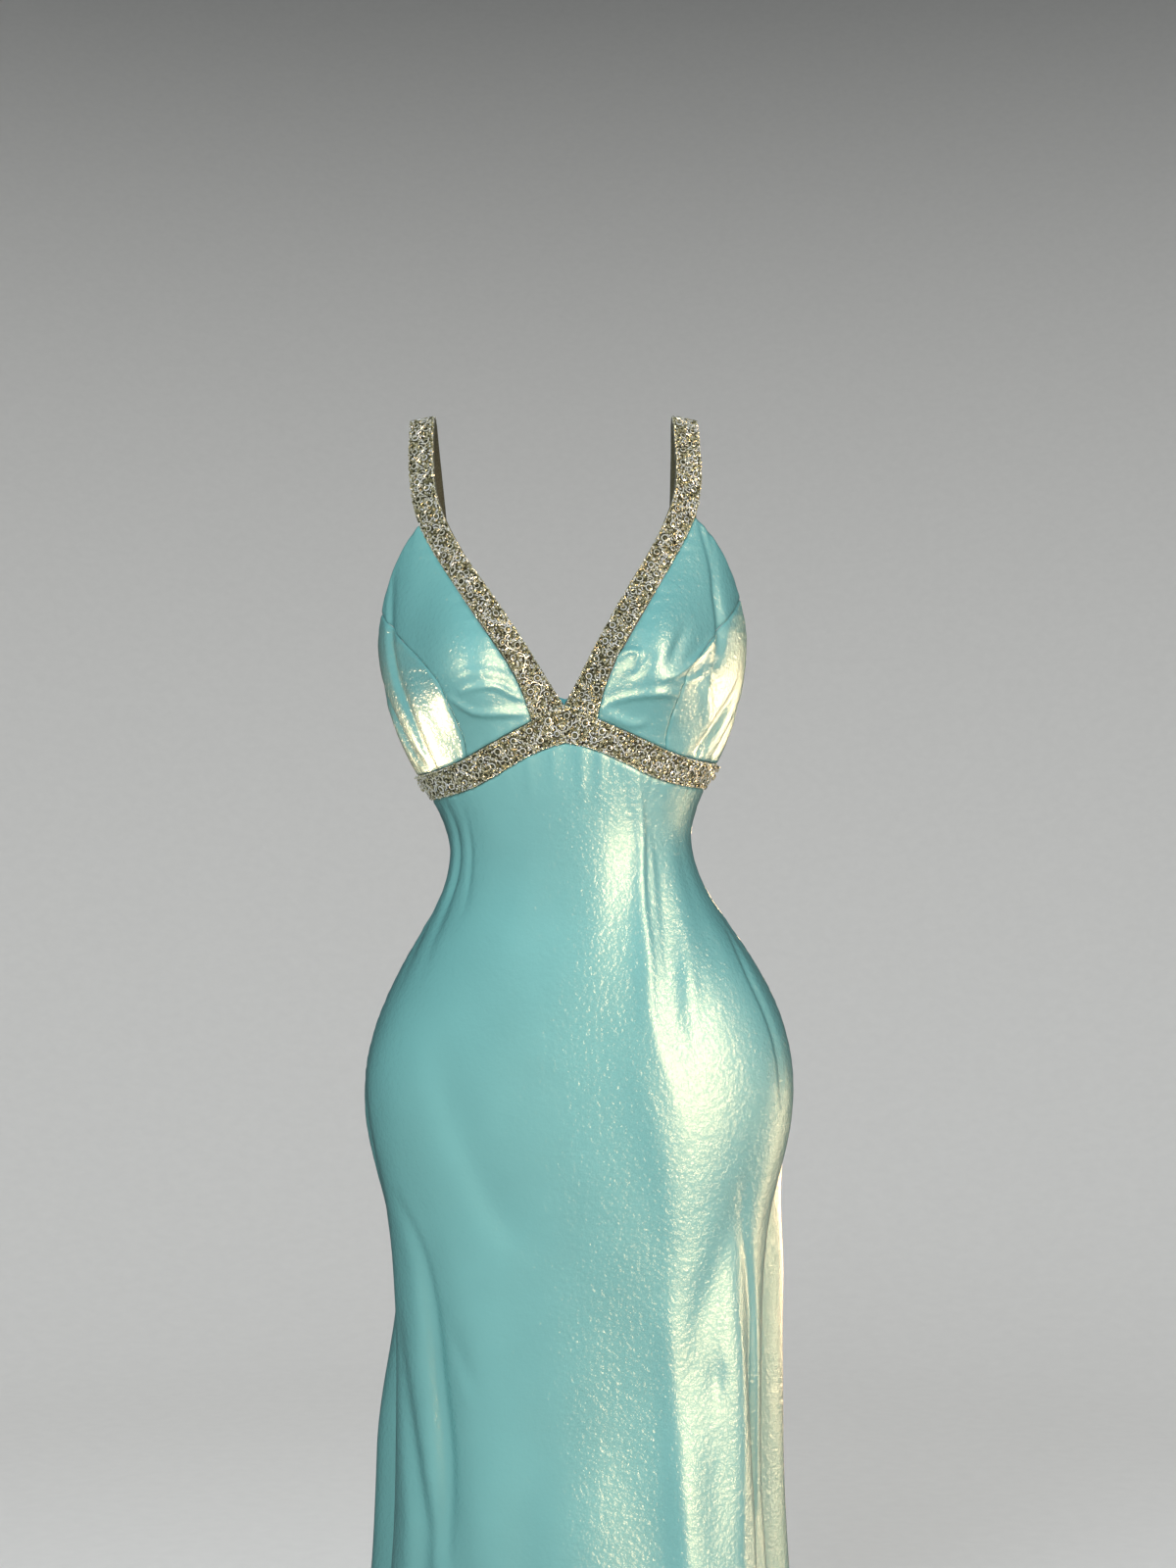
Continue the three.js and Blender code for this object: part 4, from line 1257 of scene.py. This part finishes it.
class GownStageSettings(bpy.types.PropertyGroup):
    """The floor and the studio light"""

    floor_colour: colour_setting(
        "Floor Colour", "Colour of the floor and backdrop", (0.86, 0.855, 0.84)
    )
    key_power: power_setting(
        "Key Light", "Power of the tall softbox that shines in the satin", 120
    )
    front_power: power_setting("Front Light", "Power of the soft light from in front", 99)


# Operators


class GOWN_OT_bodice(bpy.types.Operator):
    """Make the two front and two side panels of the cups"""

    bl_idname = "gown.make_bodice"
    bl_label = "Make Bodice"

    def execute(self, context):
        settings = context.scene.gown_satin
        front = (
            part_of(armhole, 0, ARMHOLE_SEAM),
            round_body(BAND_FOOT, CUP_SEAM_FOOT, band_upper),
            neck_outer,
            cup_seam,
        )
        side = (
            part_of(armhole, ARMHOLE_SEAM, 1),
            round_body(CUP_SEAM_FOOT, SIDE, band_upper),
            cup_seam,
            straight_down(SIDE, UNDERARM, band_upper(SIDE)),
        )
        for name, edges, flat, area in (
            ("cup_front", front, (0.13, 0.245), 0.0165),
            ("cup_side", side, (0.165, 0.155), 0.0165),
        ):
            for hand, mirror in (("left", False), ("right", True)):
                used = [mirrored(edge) for edge in edges] if mirror else edges
                across, down = shares(84, rim=5, length=110), shares(104, rim=5, length=180)
                made = satin_panel(f"{name}_{hand}_cloth", used, across, down, settings)
                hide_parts(f"{name}_{hand}")
                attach(made, "gown")
        return {"FINISHED"}


class GOWN_OT_skirt(bpy.types.Operator):
    """Make the skirt's front panel"""

    bl_idname = "gown.make_skirt_front"
    bl_label = "Make Skirt Front"

    def execute(self, context):
        settings = context.scene.gown_satin
        edges = (
            round_body(-SIDE, SIDE, band_lower),
            round_body(-SIDE, SIDE, lambda angle: HEM),
            straight_down(-SIDE, band_lower(SIDE), HEM),
            straight_down(SIDE, band_lower(SIDE), HEM),
        )
        across, down = shares(170, rim=5, length=420), shares(270, rim=5, length=1130)
        made = satin_panel("skirt_front_cloth", edges, across, down, settings, hem=True)
        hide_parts("skirt_front")
        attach(made, "gown")
        return {"FINISHED"}


class GOWN_OT_backs(bpy.types.Operator):
    """Make the two back panels, on either side of the zip"""

    bl_idname = "gown.make_backs"
    bl_label = "Make Backs"

    def execute(self, context):
        settings = context.scene.gown_satin
        for hand, side in (("left", 1), ("right", -1)):
            edges = (
                round_body(side * SIDE, side * BACK, back_top),
                round_body(side * SIDE, side * BACK, lambda angle: HEM),
                straight_down(side * SIDE, UNDERARM, HEM),
                straight_down(side * BACK, back_top(BACK), HEM),
            )
            across, down = shares(108, rim=5, length=240), shares(280, rim=5, length=1230)
            made = satin_panel(f"back_{hand}_cloth", edges, across, down, settings, hem=True)
            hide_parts(f"back_{hand}")
            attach(made, "gown")
        return {"FINISHED"}


class GOWN_OT_band(bpy.types.Operator):
    """Make the beaded band under the bust"""

    bl_idname = "gown.make_band"
    bl_label = "Make Band"

    def execute(self, context):
        settings = context.scene.gown_trim
        edges = (
            round_body(-SIDE, SIDE, band_upper),
            round_body(-SIDE, SIDE, band_lower),
            straight_down(-SIDE, band_upper(SIDE), band_lower(SIDE)),
            straight_down(SIDE, band_upper(SIDE), band_lower(SIDE)),
        )
        angle, z, _ = coons(*edges, shares(220), shares(12))
        normals = form_normal(angle, z)
        grid = pose(form(angle, z))
        lifted = grid + normals * TRIM_LIFT
        ribbon = Ribbon(*(np.swapaxes(rows, 0, 1)[:, ::-1] for rows in (lifted, normals)))
        beads = beading("band_underbust_beads", ribbon, settings, seed=41, heaped=90)
        name, flat, area = "band_underbust", (0.44, 0.06), 0.0132
        trim_strip(f"{name}_cloth", grid, normals, settings, name)
        return {"FINISHED"}


class GOWN_OT_straps(bpy.types.Operator):
    """Make the two beaded straps"""

    bl_idname = "gown.make_straps"
    bl_label = "Make Straps"

    def execute(self, context):
        settings = context.scene.gown_trim
        for hand, side, seed in (("left", 1, 17), ("right", -1, 29)):
            grid, normals = strap_grid(side)
            ribbon = Ribbon(grid + normals * TRIM_LIFT, normals)
            beads = beading(f"strap_{hand}_beads", ribbon, settings, seed)
            name, flat, area = f"strap_{hand}", (0.04, 0.62), 0.0149
            trim_strip(f"{name}_cloth", grid, normals, settings, name)
        return {"FINISHED"}


class GOWN_OT_zip(bpy.types.Operator):
    """Finish the zip in the centre back seam"""

    bl_idname = "gown.make_zip"
    bl_label = "Make Zip"

    def execute(self, context):
        settings = context.scene.gown_trim
        nodes = frame["nodes"]
        for name, material in (
            ("zip_tape", zip_tape_cloth(settings.zip_colour)),
            ("zip_slider", zip_enamel(settings.zip_colour)),
            ("zip_pull", zip_enamel(settings.zip_colour)),
        ):
            nodes[name].data.materials.clear()
            nodes[name].data.materials.append(material)

        # The coil on the tape's inner side: a short bar across the seam at each step
        z = np.arange(back_top(BACK) - 16, ZIP_END + 3, -ZIP_COIL_STEP)
        angle = np.full(z.shape, BACK)
        normal = form_normal(angle, z)
        up = unit(form(angle, z + 1) - form(angle, z - 1))
        spot = (pose(form(angle, z)), up, np.cross(normal, up), normal)
        sizes = np.tile([1.9, 0.5, 0.5], (len(z), 1))
        still, random = np.zeros(len(z)), np.random.default_rng(5)
        turn = still + np.pi / 2
        corners, faces, _ = set_beads(
            BUGLE, spot, sizes, turn, still, ZIP_COIL_LIFT, random, tilt=0
        )
        coil = bead_mesh("zip_coil", corners, faces)
        add_materials(coil, zip_tape_cloth(settings.zip_colour))
        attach(coil, "gown")
        return {"FINISHED"}


class GOWN_OT_stage(bpy.types.Operator):
    """Make the floor, the studio light and the camera"""

    bl_idname = "gown.make_stage"
    bl_label = "Make Stage"

    def execute(self, context):
        settings = context.scene.gown_stage
        # A bowl: flat out to 2.4 m, then rising on a smooth curve to 4.8 m high at 8.2 m
        radius = np.concatenate([[0.01], np.linspace(0.5, 8.2, 48)])[:, None] * 1000
        rise = 6000 * smooth(radius, 2400, 10500)
        angle = np.linspace(0, 2 * np.pi, 97)[:-1]
        x, y = radius * np.cos(angle), radius * np.sin(angle)
        points = np.stack([x, y, HEM - 2 + rise + 0 * angle], -1)
        floor = surface("floor", points[::-1], closed=True)
        add_materials(floor, studio_paper(settings.floor_colour))
        floor.visible_glossy = False

        world = bpy.data.worlds.new("studio")
        world.use_nodes = True
        background = world.node_tree.nodes["Background"]
        background.inputs["Color"].default_value = linear("#DDE6EA")
        background.inputs["Strength"].default_value = 0.07
        context.scene.world = world
        context.scene.view_settings.view_transform = "Standard"

        warm, cool, white = "#FFD7A6", "#EDF5FF", "#FFFFFF"
        key, front = settings.key_power, settings.front_power
        gown = ("back", "band", "cup", "skirt", "strap", "zip")
        low, chest = (0.15, 0, -1.0), (0.07, -0.08, -0.22)
        left, right = (-0.09, -0.05, -0.24), (0.12, -0.03, -0.25)
        # name, place, target, width, height, power, colour, spread in degrees, whether it shines in
        # the satin or lights it softly, and what it lights alone, as flags on stands would have it
        for name, place, target, width, height, watts, colour, spread, shines, alone in (
            ("key", (1.78, -1.9, -0.22), (0.05, 0, -0.5), 0.42, 2.4, key, warm, 180, True, gown),
            ("right_low", (1.5, 0.6, -1.08), low, 0.2, 0.7, 2.4, warm, 90, True, gown),
            ("right_chest", (1.0, 0.5, -0.4), right, 0.25, 0.4, 0.3, warm, 24, True, "cup_side"),
            ("left_chest", (-0.95, 0.2, -0.78), left, 0.3, 0.4, 0.8, warm, 22, True, "cup_side"),
            ("chest", (-1.0, -1.15, -0.12), chest, 0.16, 0.5, 0.3, warm, 16, True, "cup_front"),
            ("back_key", (1.3, 2.1, -0.2), (0, 0.1, -0.5), 0.4, 2.3, 62, warm, 180, True, "back"),
            ("front", (-0.8, -2.9, 1.4), (0, 0, -0.5), 1.3, 1.3, front, cool, 180, False, None),
            ("side", (2.4, -1.4, 0.3), (0, 0, -0.6), 1.2, 1.8, 26, cool, 180, False, None),
            ("ceiling", (0, 0.6, 4.2), (0, 0.6, -1.4), 5, 5, 20, white, 180, False, None),
            ("behind", (0, 3.4, 0.9), (0, 0, -0.6), 1.4, 1.4, 75, cool, 180, False, gown),
            ("wall", (0, 0.6, 4.3), (0, 0.6, -1.4), 5, 5, 190, white, 180, False, "floor"),
        ):
            lamp = bpy.data.lights.new(name, "AREA")
            lamp.shape = "RECTANGLE"
            lamp.size, lamp.size_y = width, height
            lamp.energy = watts
            lamp.color = linear(colour)[:3]
            lamp.spread = np.radians(spread)
            made = add_object(name, lamp)
            made.location = place
            toward = np.array(target) - np.array(place)
            made.rotation_euler = (
                np.arccos(-toward[2] / np.linalg.norm(toward)),
                0,
                np.arctan2(toward[0], -toward[1]) + np.pi,
            )
            made.visible_camera = False
            made.visible_glossy = shines
            made.visible_diffuse = not shines
            if alone:
                lit = bpy.data.collections.new(name)
                for piece in context.scene.objects:
                    if piece.name.startswith(alone):
                        lit.objects.link(piece)
                made.light_linking.receiver_collection = lit

        # The photo's view, level and from in front: 2.4 m away, where a pixel is 0.9 mm
        camera = bpy.data.cameras.new("camera")
        camera.lens = 60
        camera.sensor_fit = "VERTICAL"
        camera.sensor_height = 36
        made = add_object("camera", camera)
        made.location = (0.0318, -2.4, -0.3375)
        made.rotation_euler = (np.pi / 2, 0, 0)
        context.scene.camera = made
        return {"FINISHED"}


class GOWN_PT_panel(bpy.types.Panel):
    """The gown's settings and makers"""

    bl_label = "Gown"
    bl_idname = "GOWN_PT_panel"
    bl_space_type = "VIEW_3D"
    bl_region_type = "UI"
    bl_category = "Gown"

    def draw(self, context):
        for group in SETTINGS:
            settings = getattr(context.scene, group)
            for name in settings.__annotations__:
                self.layout.prop(settings, name)
        for maker in MAKERS:
            self.layout.operator(maker.bl_idname)


MAKERS = (
    GOWN_OT_bodice,
    GOWN_OT_skirt,
    GOWN_OT_backs,
    GOWN_OT_band,
    GOWN_OT_straps,
    GOWN_OT_zip,
    GOWN_OT_stage,
)
SETTINGS = {
    "gown_satin": GownSatinSettings,
    "gown_trim": GownTrimSettings,
    "gown_stage": GownStageSettings,
}


def register():
    """Registers the classes, and puts the settings on the scene."""
    for made in (*SETTINGS.values(), *MAKERS, GOWN_PT_panel):
        bpy.utils.register_class(made)
    for name, group in SETTINGS.items():
        setattr(bpy.types.Scene, name, bpy.props.PointerProperty(type=group))


def unregister():
    """Takes the settings and the classes away again."""
    for name in SETTINGS:
        delattr(bpy.types.Scene, name)
    for made in reversed((*SETTINGS.values(), *MAKERS, GOWN_PT_panel)):
        bpy.utils.unregister_class(made)


def main():
    """Makes the gown and its stage."""
    register()
    for maker in MAKERS:
        group, name = maker.bl_idname.split(".")
        getattr(getattr(bpy.ops, group), name)()


if __name__ == "__main__":
    main()
